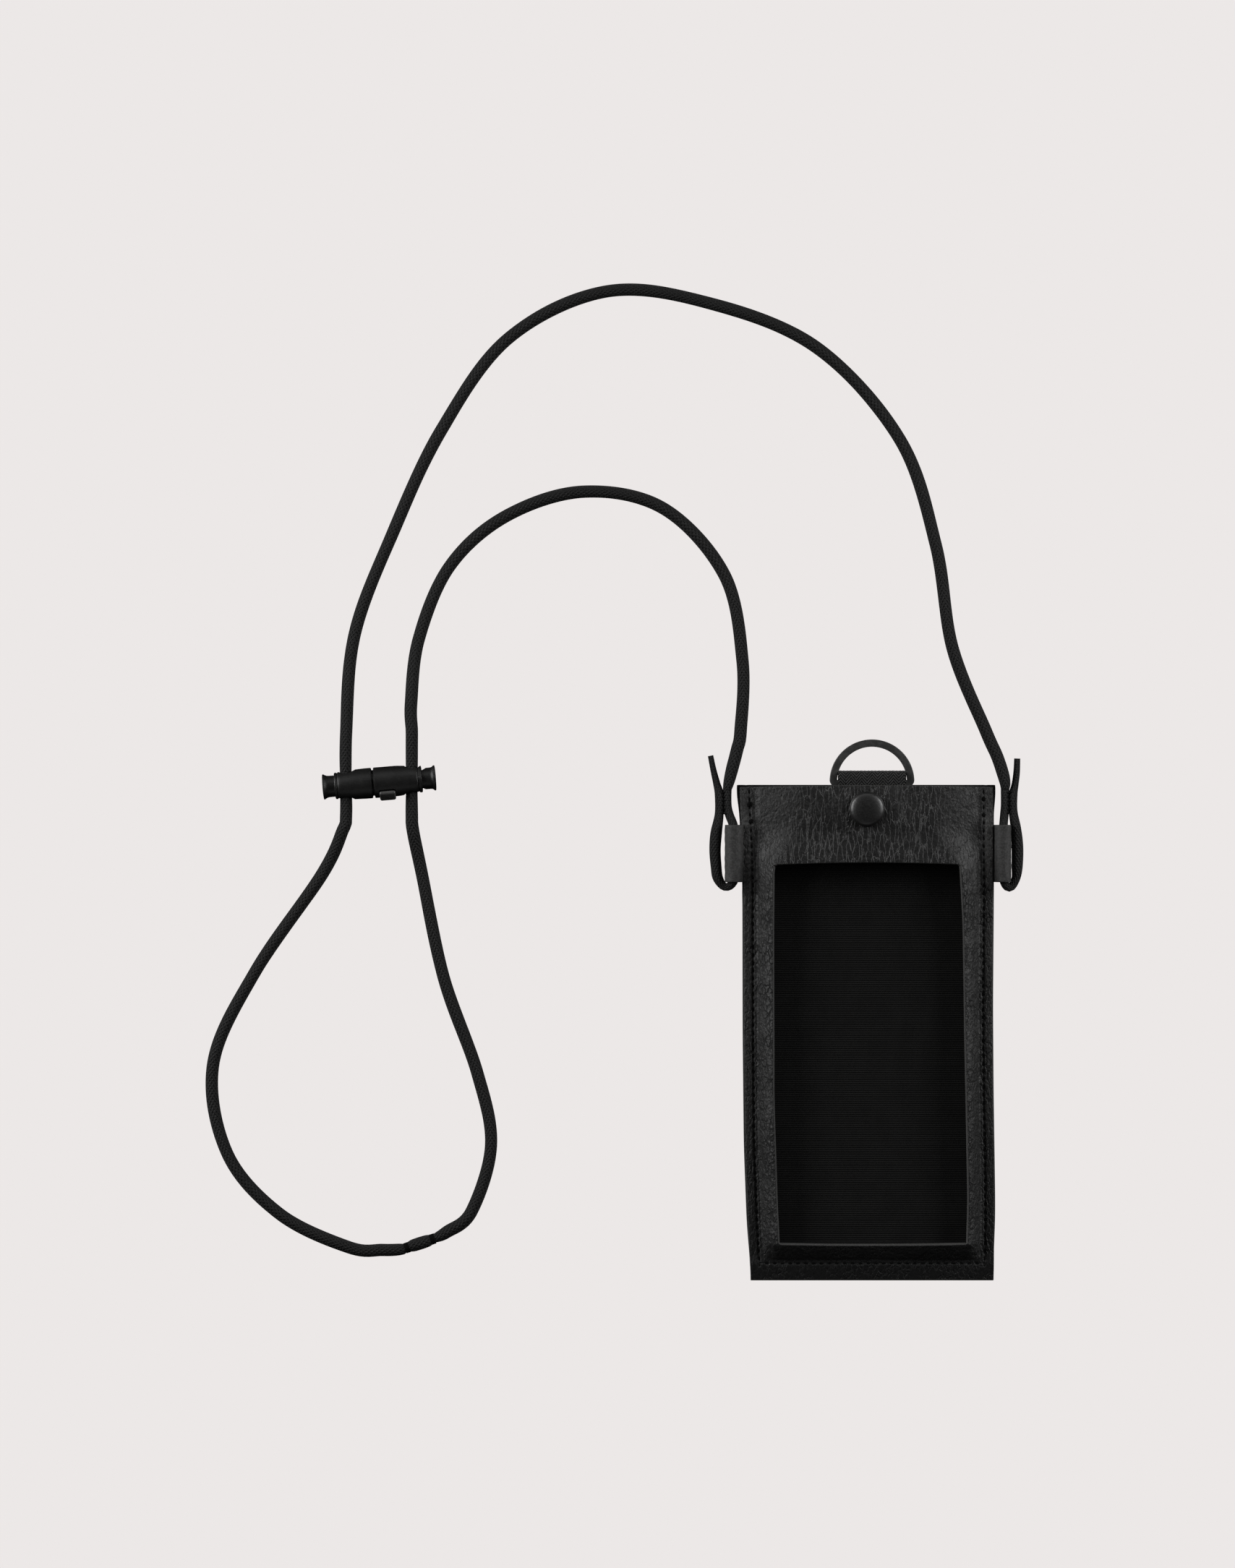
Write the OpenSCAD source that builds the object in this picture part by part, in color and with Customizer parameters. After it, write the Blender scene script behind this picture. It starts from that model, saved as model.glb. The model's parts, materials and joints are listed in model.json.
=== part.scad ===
// Neck pouch for a phone: a flat leather pocket with a window, hung on an elastic neck cord
// that runs through a two-part cord stopper. The pouch lies on its back: +Z is its front,
// +Y its mouth and +X its right side. The origin is the centre of its back face. Millimetres.

/* [Pouch] */
// Length from the bottom fold to the mouth
pouch_len = 178; // [170:1:190]
// Width across the mouth
mouth_w = 90.8; // [90:0.2:96]
// Width across the bottom fold
foot_w = 87.2; // [86.6:0.2:94]
// Thickness of the leather
leather_t = 1.3; // [1.1:0.1:1.4]
// Thickness of the ribbed lining
lining_t = 0.5; // [0.3:0.1:0.6]
// How far the front panel stands up off its seam to hold a phone
crown_h = 8.2; // [7:0.1:10]
// Distance between two stitches
stitch_pitch = 2.8; // [2.4:0.1:4]

/* [Window] */
// Width of the window
window_w = 68.6; // [60:0.2:69]
// Lower edge of the window
window_low = -75.4; // [-75.4:0.2:-60]
// Upper edge of the window
window_high = 61.6; // [50:0.2:62]
// Radius of the window's lower corners
window_r = 2; // [1:0.5:4]

/* [Side tabs] */
// Distance from the middle to the centre of each folded tab's loop
tab_x = 48.6; // [48.6:0.1:50]
// Distance of the right tab's cord hole from the middle
right_tab_x = 48.2; // [48.2:0.1:50]
// Lower edge of the tabs
tab_low = 54.5; // [50:0.5:55]
// Upper edge of the tabs
tab_high = 75.1; // [74:0.1:76]
// Thickness of the tabs' leather
tab_t = 0.9; // [0.7:0.1:0.9]

/* [D-ring] */
// Sideways place of the ring's middle
ring_x = 1; // [0:0.5:1]
// Width of the ring inside
ring_inner_w = 25.4; // [25.2:0.1:26]
// Width of the ring's flat band
ring_band = 2.4; // [2:0.1:2.4]
// Thickness of the ring
ring_t = 2.2; // [1.6:0.1:2.2]
// Width of the webbing loop that holds the ring
webbing_w = 23.8; // [23:0.1:24]

/* [Snap fastener] */
// Sideways place of the snap
snap_x = -1; // [-1:0.5:0]
// Place of the snap along the pouch
snap_y = 80.8; // [80.6:0.1:81]
// Diameter of the snap's cap
cap_d = 12.7; // [11:0.1:12.7]

/* [Cord] */
// Diameter of the neck cord
cord_d = 4.5; // [4:0.1:4.5]

/* [Stopper] */
// Diameter of both barrels at their widest
barrel_d = 11; // [11:0.1:12]
// Angle of the stopper's axis to the mouth of the pouch
stopper_tilt = 4.7; // [0:0.1:4.7]
// Diameter of the crosswise holes for the cord
cord_hole_d = 6; // [5.8:0.1:6.2]
// Diameter of the two plungers
plunger_d = 7.7; // [7:0.1:7.7]
// Turn of the latch button about the stopper's axis, up from its lower side
latch_turn = 32; // [0:1:40]

/* [Hidden] */
$fn = 48;

// Heights of the layers above the table
lining_z = leather_t;
seam_z = leather_t + lining_t;
flange_top = seam_z + leather_t;
crown_top = flange_top + crown_h;
webbing_t = 0.8;
pad_z = lining_z + 2 * webbing_t;
pad_top = pad_z + lining_t;
band_dip = 2.6;
band_inner_z = seam_z + crown_h - band_dip;
band_outer_z = band_inner_z + leather_t;

// Plan of the pouch
half_len = pouch_len / 2;
fold_r = flange_top / 2;
fold_y = fold_r - half_len;
slope_w = 5.4;
slope_x = 40;
slope_y = -80.6;
wall_shift = 0.8;
dip_start = 66.5;
dip_end = 74;
slope_steps = 8;
stitch_inset = 3.2;
stitch_row_y = -82.7;
band_gap = 0.3;
big = 400;

function half_width(y) = (foot_w + (mouth_w - foot_w) * (y + half_len) / pouch_len) / 2;
// Rise of the front panel at distance d in from the edge of its slope
function rise(d) = crown_h * sqrt(1 - pow(1 - min(d / slope_w, 1), 2));
function smooth(t) = let (c = max(0, min(1, t))) c * c * (3 - 2 * c);
function dip(y) = band_dip * smooth((y - dip_start) / (dip_end - dip_start));
slope_d = [for (k = [0 : slope_steps]) slope_w * (1 - cos(90 * k / slope_steps))];
dip_y = [for (k = [0 : slope_steps]) dip_start + (dip_end - dip_start) * k / slope_steps];

// Side tabs, D-ring and snap
tab_bore_r = 2.45;
right_tab_bore_r = 2;
tab_z = seam_z + 2 * tab_t;
tab_root_x = 40.3;
bump_margin = 1.2;
ring_y = 90;
ring_z = 3.9;
ring_arc_y = 90.6;
loop_inner_r = 1.8;
loop_y = 92;
webbing_low = 72;
pad_high = 87;
rivet_r = 1.4;
rivet_hole_r = 1.45;
stud_r = 2;
stud_base_t = 0.6;
stud_top = 6.6;
socket_low = 4.5;
socket_plate_t = 0.5;
post_head_t = 0.5;
post_head_r = 4.5;
cap_rim_t = 0.6;
cap_dome_h = 2;

// Stopper, along its own axis u from the parting line: left is negative
stopper_pos = [-178.2, 90.2, barrel_d / 2];
left_hole_u = -9.6;
right_hole_u = 13.9;
left_press = 2.4;
right_press = 2.6;
slot_r = 2.35;
bore_r = plunger_d / 2 + 0.1;
plug_r = 3.2;
plug_len = 4.9;
spring_wire_r = 0.3;
spring_r = 2.2;
spring_turns = 4;

// Cord routes: x, y, z of the centre and the radius there, from the pouch's own tabs outwards
cord_r = cord_d / 2;
sewn_r = 1.4;
lie_z = 2.3;
hole_z = barrel_d / 2;
left_end_route = [
    [-57, 100, 1.4, 1], [-56, 95, 1.4, 1.1], [-54.8, 90, 1.6, 1.3], [-53.9, 86, 2, sewn_r],
    [-53.9, 79, 2, sewn_r], [-55, 72, lie_z, 2.1], [-55.4, 66, lie_z, 2.1], [-55, 60, lie_z, 2],
    [-54.4, 56, lie_z, 1.9], [-52.3, 53, 2.5, 1.5], [-50, 53.2, 3.2, 1.5], [-48.7, 56, tab_z, 2],
    [-48.6, 61, tab_z, 2.2], [-48.6, 69, tab_z, 2.2], [-48.8, 74.6, 3.3, 1.7],
    [-50.2, 78.6, 2.2, sewn_r], [-51, 82, 2, sewn_r], [-51, 87.8, 2, sewn_r]
];
left_upper_route = [
    [-51, 88, lie_z, 1.6], [-50.4, 90.5, lie_z, 2], [-49.3, 95, lie_z, cord_r],
    [-47.5, 102, lie_z, cord_r], [-46.2, 109, lie_z, cord_r], [-45.5, 134, lie_z, cord_r],
    [-52, 165, lie_z, cord_r], [-74, 189, lie_z, cord_r], [-103, 195, lie_z, cord_r],
    [-131, 186, lie_z, cord_r], [-151, 168, lie_z, cord_r], [-162, 142, lie_z, cord_r],
    [-165, 119, 3.6, cord_r], [-164.6, 109, 5.2, cord_r], [-164.4, 104, hole_z, cord_r]
];
left_grip_route = [[-164.4, 103.8, hole_z, cord_r], [-164.4, 79.2, hole_z, cord_r]];
left_lower_route = [
    [-164.4, 79, hole_z, cord_r], [-164, 73, 5.1, cord_r], [-161, 58, lie_z, cord_r],
    [-153, 20, lie_z, cord_r], [-141, -14, lie_z, cord_r], [-136, -40, lie_z, cord_r],
    [-143, -64, lie_z, cord_r], [-152, -71.5, lie_z, cord_r], [-156.8, -73.9, lie_z, 1.5]
];
splice_route = [
    [-157, -74, lie_z, 1.5], [-159, -74.7, lie_z, 2.2], [-164, -76.3, lie_z, 2.2],
    [-166, -77, lie_z, 1.5]
];
right_lower_route = [
    [-166.2, -77.1, lie_z, 1.5], [-168.5, -77.7, lie_z, 2.1], [-175, -77.9, lie_z, cord_r],
    [-187, -77, lie_z, cord_r], [-212, -65, lie_z, cord_r], [-231, -43, lie_z, cord_r],
    [-236, -11, lie_z, cord_r], [-221, 22, lie_z, cord_r], [-197, 57, lie_z, cord_r],
    [-189.3, 73, 5.2, cord_r], [-188, 79, hole_z, cord_r]
];
right_upper_route = [
    [-188, 79, hole_z, cord_r], [-188, 108, hole_z, cord_r], [-185, 144, lie_z, cord_r],
    [-171, 181, lie_z, cord_r], [-154, 217, lie_z, cord_r], [-130, 250, lie_z, cord_r],
    [-95, 267, lie_z, cord_r], [-58, 263, lie_z, cord_r], [-19, 247, lie_z, cord_r],
    [11, 214, lie_z, cord_r], [24, 176, lie_z, cord_r], [30, 139, lie_z, cord_r],
    [42, 109, lie_z, cord_r], [46, 100, lie_z, cord_r], [48.2, 93.5, lie_z, cord_r],
    [49, 90, lie_z, 2], [49, 88, lie_z, 1.6]
];
right_end_route = [
    [53.4, 99, 1.4, 1.1], [53.2, 94, 1.4, 1.2], [52.6, 89.5, 1.6, 1.3], [51.9, 86, 2, sewn_r],
    [51.9, 80, 2, sewn_r], [52.9, 73.5, lie_z, 1.9], [53.4, 67, lie_z, 2.1],
    [53.3, 60, lie_z, 2], [52.9, 56, lie_z, 1.6], [51.2, 52.8, 2.5, 1.5], [49.4, 53, 3.2, 1.5],
    [48.3, 56, tab_z, 1.7], [48.2, 60, tab_z, 1.85], [48.2, 69, tab_z, 1.85],
    [48.3, 74.6, 3.4, 1.6], [48.7, 78.5, 2.2, sewn_r], [49, 82, 2, sewn_r], [49, 87.8, 2, sewn_r]
];

// Sweeping a round tube along a route
function unit(v) = v / norm(v);
function xyz(p) = [p[0], p[1], p[2]];
function between(a, b, c, d, t) = 0.5 * (2 * b + (c - a) * t
    + (2 * a - 5 * b + 4 * c - d) * t * t + (3 * b - a - 3 * c + d) * t * t * t);
// A smooth curve through a route's points, with n steps from each point to the next
function curve(p, n) = let (last = len(p) - 1) [
    for (i = [0 : last - 1], k = [0 : n - 1])
        between(p[max(i - 1, 0)], p[i], p[i + 1], p[min(i + 2, last)], k / n),
    p[last]
];
function heading(p, i) = unit(xyz(p[min(i + 1, len(p) - 1)]) - xyz(p[max(i - 1, 0)]));
function ring_points(p, i, sides) =
    let (t = heading(p, i), s = unit(cross(t, [0, 0, 1])), u = cross(s, t))
    [for (k = [0 : sides - 1]) let (a = 360 * (k + 0.5) / sides)
        xyz(p[i]) + p[i][3] * (cos(a) * s + sin(a) * u)];

module tube(route, steps = 2, sides = 8) {
    path = curve(route, steps);
    last = len(path) - 1;
    points = [for (i = [0 : last]) each ring_points(path, i, sides)];
    skin = [for (i = [0 : last - 1], k = [0 : sides - 1])
        let (a = i * sides + k, b = i * sides + (k + 1) % sides)
        each [[a, b, b + sides], [a, b + sides, a + sides]]];
    first_end = [for (k = [sides - 1 : -1 : 0]) k];
    last_end = [for (k = [0 : sides - 1]) last * sides + k];
    polyhedron(points, concat(skin, [first_end, last_end]), convexity = 10);
}

// Plain shapes
module block(low, high) {
    translate(low) cube(high - low);
}

module slab(profile, from, to) {
    translate([0, to, 0]) rotate([90, 0, 0]) linear_extrude(to - from) polygon(profile);
}

module plan_prism(inset, low_y, high_y, z, h) {
    translate([0, 0, z]) linear_extrude(h) polygon([
        [-half_width(low_y) + inset, low_y], [half_width(low_y) - inset, low_y],
        [half_width(high_y) - inset, high_y], [-half_width(high_y) + inset, high_y]
    ]);
}

// A profile drawn as [y, z], carried across the pouch from x = -w to x = w
module crosswise(profile, w) {
    translate([-w, 0, 0]) rotate([90, 0, 90]) linear_extrude(2 * w) polygon(profile);
}

module snap_hole(z, h, hole_r = rivet_hole_r) {
    translate([snap_x, snap_y, z]) cylinder(h = h, r = hole_r);
}

// Front leather: one skin, crowned in both directions
module crown(skin_t, shift, base_z) {
    top = seam_z + skin_t;
    edge = slope_x - shift;
    left = [for (d = slope_d) [-edge + d, top + rise(d)]];
    right = [for (k = [slope_steps : -1 : 0]) [edge - slope_d[k], top + rise(slope_d[k])]];
    side = shift > 0 ? [] : [[-mouth_w, top]];
    other_side = shift > 0 ? [] : [[mouth_w, top]];
    ends = shift > 0 ? edge : mouth_w;
    foot = slope_y + shift;
    foot_end = shift > 0 ? foot : fold_y;
    intersection() {
        slab(concat([[-ends, base_z]], side, left, right, other_side, [[ends, base_z]]), fold_y, big);
        crosswise(concat(
            [[foot_end, base_z], [foot_end, top]],
            [for (d = slope_d) [foot + d, top + rise(d)]],
            [for (y = dip_y) [y, top + crown_h - dip(y)]],
            [[half_len + shift, top + crown_h - band_dip], [half_len + shift, base_z]]), mouth_w);
    }
}

module front_skin() {
    difference() {
        intersection() {
            union() {
                crown(leather_t, 0, seam_z);
                for (side = [-1, 1])
                    block([side * 42.5 - 3, tab_low - bump_margin, seam_z],
                          [side * 42.5 + 3, tab_high + bump_margin, tab_z + leather_t]);
            }
            plan_prism(0, fold_y, half_len, seam_z, big);
        }
        crown(0, wall_shift, seam_z - 1);
        for (side = [-1, 1])
            block([side * (tab_root_x + 4) - 4, tab_low - 0.1, seam_z - 1],
                  [side * (tab_root_x + 4) + 4, tab_high + 0.1, tab_z]);
    }
}

module window_cut() {
    w = window_w / 2;
    translate([0, 0, seam_z - 1]) linear_extrude(big) {
        translate([-w, window_low + window_r]) square([window_w, big]);
        translate([window_r - w, window_low]) square([window_w - 2 * window_r, window_r + 1]);
        for (side = [-1, 1])
            translate([side * (w - window_r), window_low + window_r]) circle(window_r);
    }
}

module front_panel() {
    color("#2d2d2d") difference() {
        front_skin();
        window_cut();
    }
}

module top_band() {
    w = window_w / 2 - band_gap;
    color("#2b2b2b") difference() {
        intersection() {
            front_skin();
            block([-w, window_high, seam_z], [w, half_len + 1, big]);
        }
        snap_hole(0, big);
    }
}

module back_panel() {
    color("#2a2a2a") difference() {
        union() {
            plan_prism(0, fold_y, half_len, 0, leather_t);
            intersection() {
                translate([0, fold_y, fold_r]) rotate([0, 90, 0])
                    difference() {
                        cylinder(h = foot_w, r = fold_r, center = true);
                        cylinder(h = big, r = fold_r - leather_t, center = true);
                    }
                block([-foot_w / 2, -big, 0], [foot_w / 2, fold_y, big]);
            }
        }
        snap_hole(-1, big);
        snap_hole(-1, 1 + post_head_t, post_head_r + 0.1);
    }
}

module back_lining() {
    pad_w = webbing_w / 2 + lining_t;
    color("#131313") difference() {
        union() {
            plan_prism(0.4, fold_y + 0.1, half_len - 0.5, lining_z, lining_t);
            block([ring_x - pad_w, webbing_low - lining_t, lining_z], [ring_x + pad_w, pad_high, pad_top]);
        }
        block([ring_x - webbing_w / 2, webbing_low, 0], [ring_x + webbing_w / 2, half_len + 1, pad_z]);
        block([ring_x - pad_w, pad_high, 0], [ring_x + pad_w, half_len + 1, pad_top]);
        snap_hole(0, big);
    }
}

module tab(side, x, bore_r) {
    color("#333333") difference() {
        union() {
            translate([side * x, tab_high, tab_z]) rotate([90, 0, 0])
                cylinder(h = tab_high - tab_low, r = bore_r + tab_t);
            block([min(side * tab_root_x, side * (x - 2)), tab_low, seam_z],
                  [max(side * tab_root_x, side * (x - 2)), tab_high, tab_z]);
        }
        translate([side * x, tab_high + 1, tab_z]) rotate([90, 0, 0])
            cylinder(h = tab_high - tab_low + 2, r = bore_r);
    }
}

// Thread on the seam: two rows up the sides and one across the bottom
module seam_stitches() {
    stitch = [1.8, 0.5, 0.3];
    high_y = half_len - 2;
    rows = floor((high_y - stitch_row_y) / stitch_pitch);
    half_row = half_width(stitch_row_y) - stitch_inset - stitch_pitch / 2;
    columns = floor(2 * half_row / stitch_pitch);
    color("#0c0c0c") {
        for (side = [-1, 1], k = [0 : rows]) {
            y = high_y - k * stitch_pitch;
            on_tab = y > tab_low - bump_margin - 1 && y < tab_high + bump_margin + 1;
            z = on_tab ? tab_z + leather_t : flange_top;
            translate([side * (half_width(y) - stitch_inset), y, z + stitch[2] / 2])
                cube([stitch[1], stitch[0], stitch[2]], center = true);
        }
        for (k = [0 : columns])
            translate([(k - columns / 2) * stitch_pitch, stitch_row_y, flange_top + stitch[2] / 2])
                cube(stitch, center = true);
    }
}

// Webbing folded round the ring's bar, both legs going in between back leather and lining
module ring_webbing() {
    outer_r = loop_inner_r + webbing_t;
    color("#1a1a1a") difference() {
        translate([ring_x - webbing_w / 2, 0, 0]) rotate([90, 0, 90]) linear_extrude(webbing_w)
            difference() {
                union() {
                    for (y = [ring_y, loop_y]) translate([y, ring_z]) circle(outer_r);
                    translate([ring_y, ring_z - outer_r]) square([loop_y - ring_y, 2 * outer_r]);
                    translate([webbing_low, lining_z]) square([ring_y - webbing_low, 2 * webbing_t]);
                }
                for (y = [ring_y, loop_y]) translate([y, ring_z]) circle(loop_inner_r);
                translate([ring_y, ring_z - loop_inner_r]) square([loop_y - ring_y, 2 * loop_inner_r]);
            }
        snap_hole(0, big);
    }
}

module webbing_stitches() {
    count = 8;
    color("#0c0c0c") for (y = [73.2, 86.4], k = [0 : count - 1])
        translate([ring_x + (k - (count - 1) / 2) * stitch_pitch, y, pad_top + 0.15])
            cube([1.8, 0.5, 0.3], center = true);
}

module d_ring() {
    w = ring_inner_w / 2;
    bar_r = ring_band / 2;
    outer_w = w + ring_band;
    color("#323232") translate([ring_x, 0, ring_z - ring_t / 2]) linear_extrude(ring_t)
        difference() {
            union() {
                translate([0, ring_arc_y]) circle(outer_w, $fn = 96);
                translate([-outer_w, ring_y]) square([2 * outer_w, ring_arc_y - ring_y]);
                translate([bar_r - outer_w, ring_y - bar_r]) square([2 * (outer_w - bar_r), ring_band]);
                for (side = [-1, 1]) translate([side * (outer_w - bar_r), ring_y]) circle(bar_r);
            }
            intersection() {
                translate([0, ring_arc_y]) circle(w, $fn = 96);
                translate([-outer_w, ring_y + bar_r]) square([2 * outer_w, big]);
            }
            translate([-big / 2, ring_y - bar_r - big]) square([big, big]);
            for (side = [-1, 1]) difference() {
                translate([side * (outer_w - bar_r / 2) - bar_r / 2, ring_y - bar_r]) square(bar_r);
                translate([side * (outer_w - bar_r), ring_y]) circle(bar_r);
            }
        }
}

// Snap fastener
module snap_cap() {
    rim_r = cap_d / 2;
    dome_r = (pow(rim_r, 2) + pow(cap_dome_h, 2)) / (2 * cap_dome_h);
    rim_top = band_outer_z + cap_rim_t;
    color("#1e1e1e") {
        snap_hole(band_outer_z, cap_rim_t, rim_r);
        intersection() {
            snap_hole(rim_top, cap_dome_h, rim_r);
            translate([snap_x, snap_y, rim_top + cap_dome_h - dome_r]) sphere(dome_r, $fn = 96);
        }
        snap_hole(band_inner_z - socket_plate_t, socket_plate_t + leather_t, rivet_r);
    }
}

module snap_socket() {
    color("#3a3a3a") difference() {
        snap_hole(socket_low, band_inner_z - socket_low, 5.6);
        snap_hole(0, band_inner_z - socket_plate_t, stud_r + 0.1);
        snap_hole(0, big);
    }
}

module snap_stud() {
    color("#3a3a3a") difference() {
        union() {
            snap_hole(pad_top, stud_base_t, 5.2);
            snap_hole(pad_top, stud_top - pad_top, stud_r);
        }
        snap_hole(0, pad_top + stud_base_t + 0.6);
    }
}

module snap_post() {
    color("#3a3a3a") {
        snap_hole(0, post_head_t, post_head_r);
        snap_hole(0, pad_top + stud_base_t + 0.3, rivet_r);
    }
}

// Cord ends, sewn back on themselves above each tab
module end_stitches(route) {
    outer = route[3];
    inner = route[len(route) - 2];
    mid_x = (outer[0] + inner[0]) / 2;
    color("#0c0c0c") for (y = [77.5 : 3 : 86.5])
        translate([mid_x, y, 3.35]) cube([4.4, 0.6, 0.5], center = true);
}

module cord(route) {
    color("#1a1a19") tube(route);
}

module splice_whipping() {
    for (end = [splice_route[0], splice_route[len(splice_route) - 1]])
        color("#0e0e0e") translate(xyz(end)) rotate([0, 0, 18.4]) rotate([0, 90, 0])
            difference() {
                cylinder(h = 1, r = 1.9, center = true);
                cylinder(h = 2, r = 1.5, center = true);
            }
}

// The stopper's own frame: x runs along its axis from the parting line
module on_stopper() {
    translate(stopper_pos) rotate([0, 0, stopper_tilt]) children();
}

// The latch button's frame: its outer face looks along -y
module at_latch() {
    rotate([-latch_turn, 0, 0]) children();
}

// A turned shape: points are [u, radius] along the stopper's axis
module turned(points) {
    rotate([0, 90, 0]) rotate_extrude() polygon([for (p = points) [p[1], p[0]]]);
}

// A round hole for the cord, crosswise at u
module cord_hole(u) {
    translate([u, 0, 0]) rotate([90, 0, -stopper_tilt])
        cylinder(h = 20, r = cord_hole_d / 2, center = true);
}

// A flat-sided slot for the cord, that leaves it free while the plunger moves by travel
module cord_slot(u, travel) {
    translate([u + travel / 2, 0, 0]) rotate([0, 0, -stopper_tilt])
        cube([2 * slot_r + abs(travel), 20, 2 * slot_r], center = true);
}

module left_barrel() {
    barrel_r = barrel_d / 2;
    color("#1c1c1c") on_stopper() difference() {
        union() {
            turned([[-13.9, 0], [-13.9, 4.7], [-13.6, 4.9], [-11, 5], [-7, 5.35], [-3, barrel_r],
                    [-0.4, barrel_r], [0, barrel_r - 0.4], [0, 0]]);
            turned([[-0.5, 0], [-0.5, plug_r], [plug_len - 0.5, plug_r], [plug_len, plug_r - 0.5],
                    [plug_len, 0]]);
        }
        turned([[-14.5, 0], [-14.5, bore_r], [-1.4, bore_r], [-1.4, 0]]);
        cord_hole(left_hole_u);
        at_latch() block([0.1, -big, -big], [big, -2.75, big]);
    }
}

module left_plunger() {
    stem_r = plunger_d / 2;
    color("#1c1c1c") on_stopper() difference() {
        turned([[-18.2, 0], [-18.2, 4.35], [-18, 4.55], [-17.4, 4.55], [-17.2, 4.35], [-17.2, stem_r],
                [-4.6, stem_r], [-4.6, 0]]);
        cord_slot(left_hole_u, -left_press - 0.2);
        turned([[-6.3, 0], [-6.3, 2.6], [-4, 2.6], [-4, 0]]);
    }
}

module right_barrel() {
    barrel_r = barrel_d / 2;
    color("#1c1c1c") on_stopper() difference() {
        turned([[0, 0], [0, barrel_r - 0.4], [0.4, barrel_r], [8.5, barrel_r], [12, 5.2], [17.2, 4.9],
                [17.5, 4.7], [17.5, 0]]);
        turned([[-1, 0], [-1, plug_r + 0.1], [5.2, plug_r + 0.1], [5.2, 0]]);
        turned([[6.1, 0], [6.1, bore_r], [18, bore_r], [18, 0]]);
        cord_hole(right_hole_u);
        at_latch() {
            block([1.85, -big, -2.55], [7.95, -4.65, 2.55]);
            block([2.25, -5, -1.35], [4.95, -2, 1.35]);
        }
    }
}

module right_plunger() {
    stem_r = plunger_d / 2;
    color("#1c1c1c") on_stopper() difference() {
        turned([[9, 0], [9, stem_r], [21.4, stem_r], [21.4, 4.35], [21.6, 4.55], [22.2, 4.55],
                [22.4, 4.35], [22.4, 0]]);
        cord_slot(right_hole_u, right_press + 0.2);
        turned([[8, 0], [8, 2.6], [10.5, 2.6], [10.5, 0]]);
    }
}

// Coil spring between u = low and u = high
module coil_spring(low, high) {
    steps = 12 * spring_turns;
    span = high - low - 2 * spring_wire_r;
    color("#9a9a9a") on_stopper() rotate([0, 90, 0]) translate([0, 0, low + spring_wire_r])
        tube([for (k = [0 : steps]) let (a = 360 * spring_turns * k / steps)
            [spring_r * cos(a), spring_r * sin(a), span * k / steps, spring_wire_r]], 1, 6);
}

module latch_button() {
    color("#1c1c1c") on_stopper() at_latch() {
        block([2, -6.6, -2.4], [7.8, -5.35, 2.4]);
        block([2.4, -5.5, -1.2], [4.8, -3.45, 1.2]);
    }
}

front_panel();
top_band();
back_panel();
back_lining();
tab(-1, tab_x, tab_bore_r);  // left_tab
tab(1, right_tab_x, right_tab_bore_r);  // right_tab
seam_stitches();
ring_webbing();
webbing_stitches();
d_ring();
snap_cap();
snap_socket();
snap_stud();
snap_post();
cord(left_end_route);  // left_end_loop
end_stitches(left_end_route);  // left_end_stitches
cord(left_upper_route);  // left_cord_upper
cord(left_grip_route);  // left_cord_grip
cord(left_lower_route);  // left_cord_lower
cord(splice_route);  // cord_splice
splice_whipping();
cord(right_lower_route);  // right_cord_lower
cord(right_upper_route);  // right_cord_upper
cord(right_end_route);  // right_end_loop
end_stitches(right_end_route);  // right_end_stitches
left_barrel();
left_plunger();
coil_spring(-6.25, -1.45);  // left_spring
right_barrel();
right_plunger();
coil_spring(6.15, 10.45);  // right_spring
latch_button();
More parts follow.
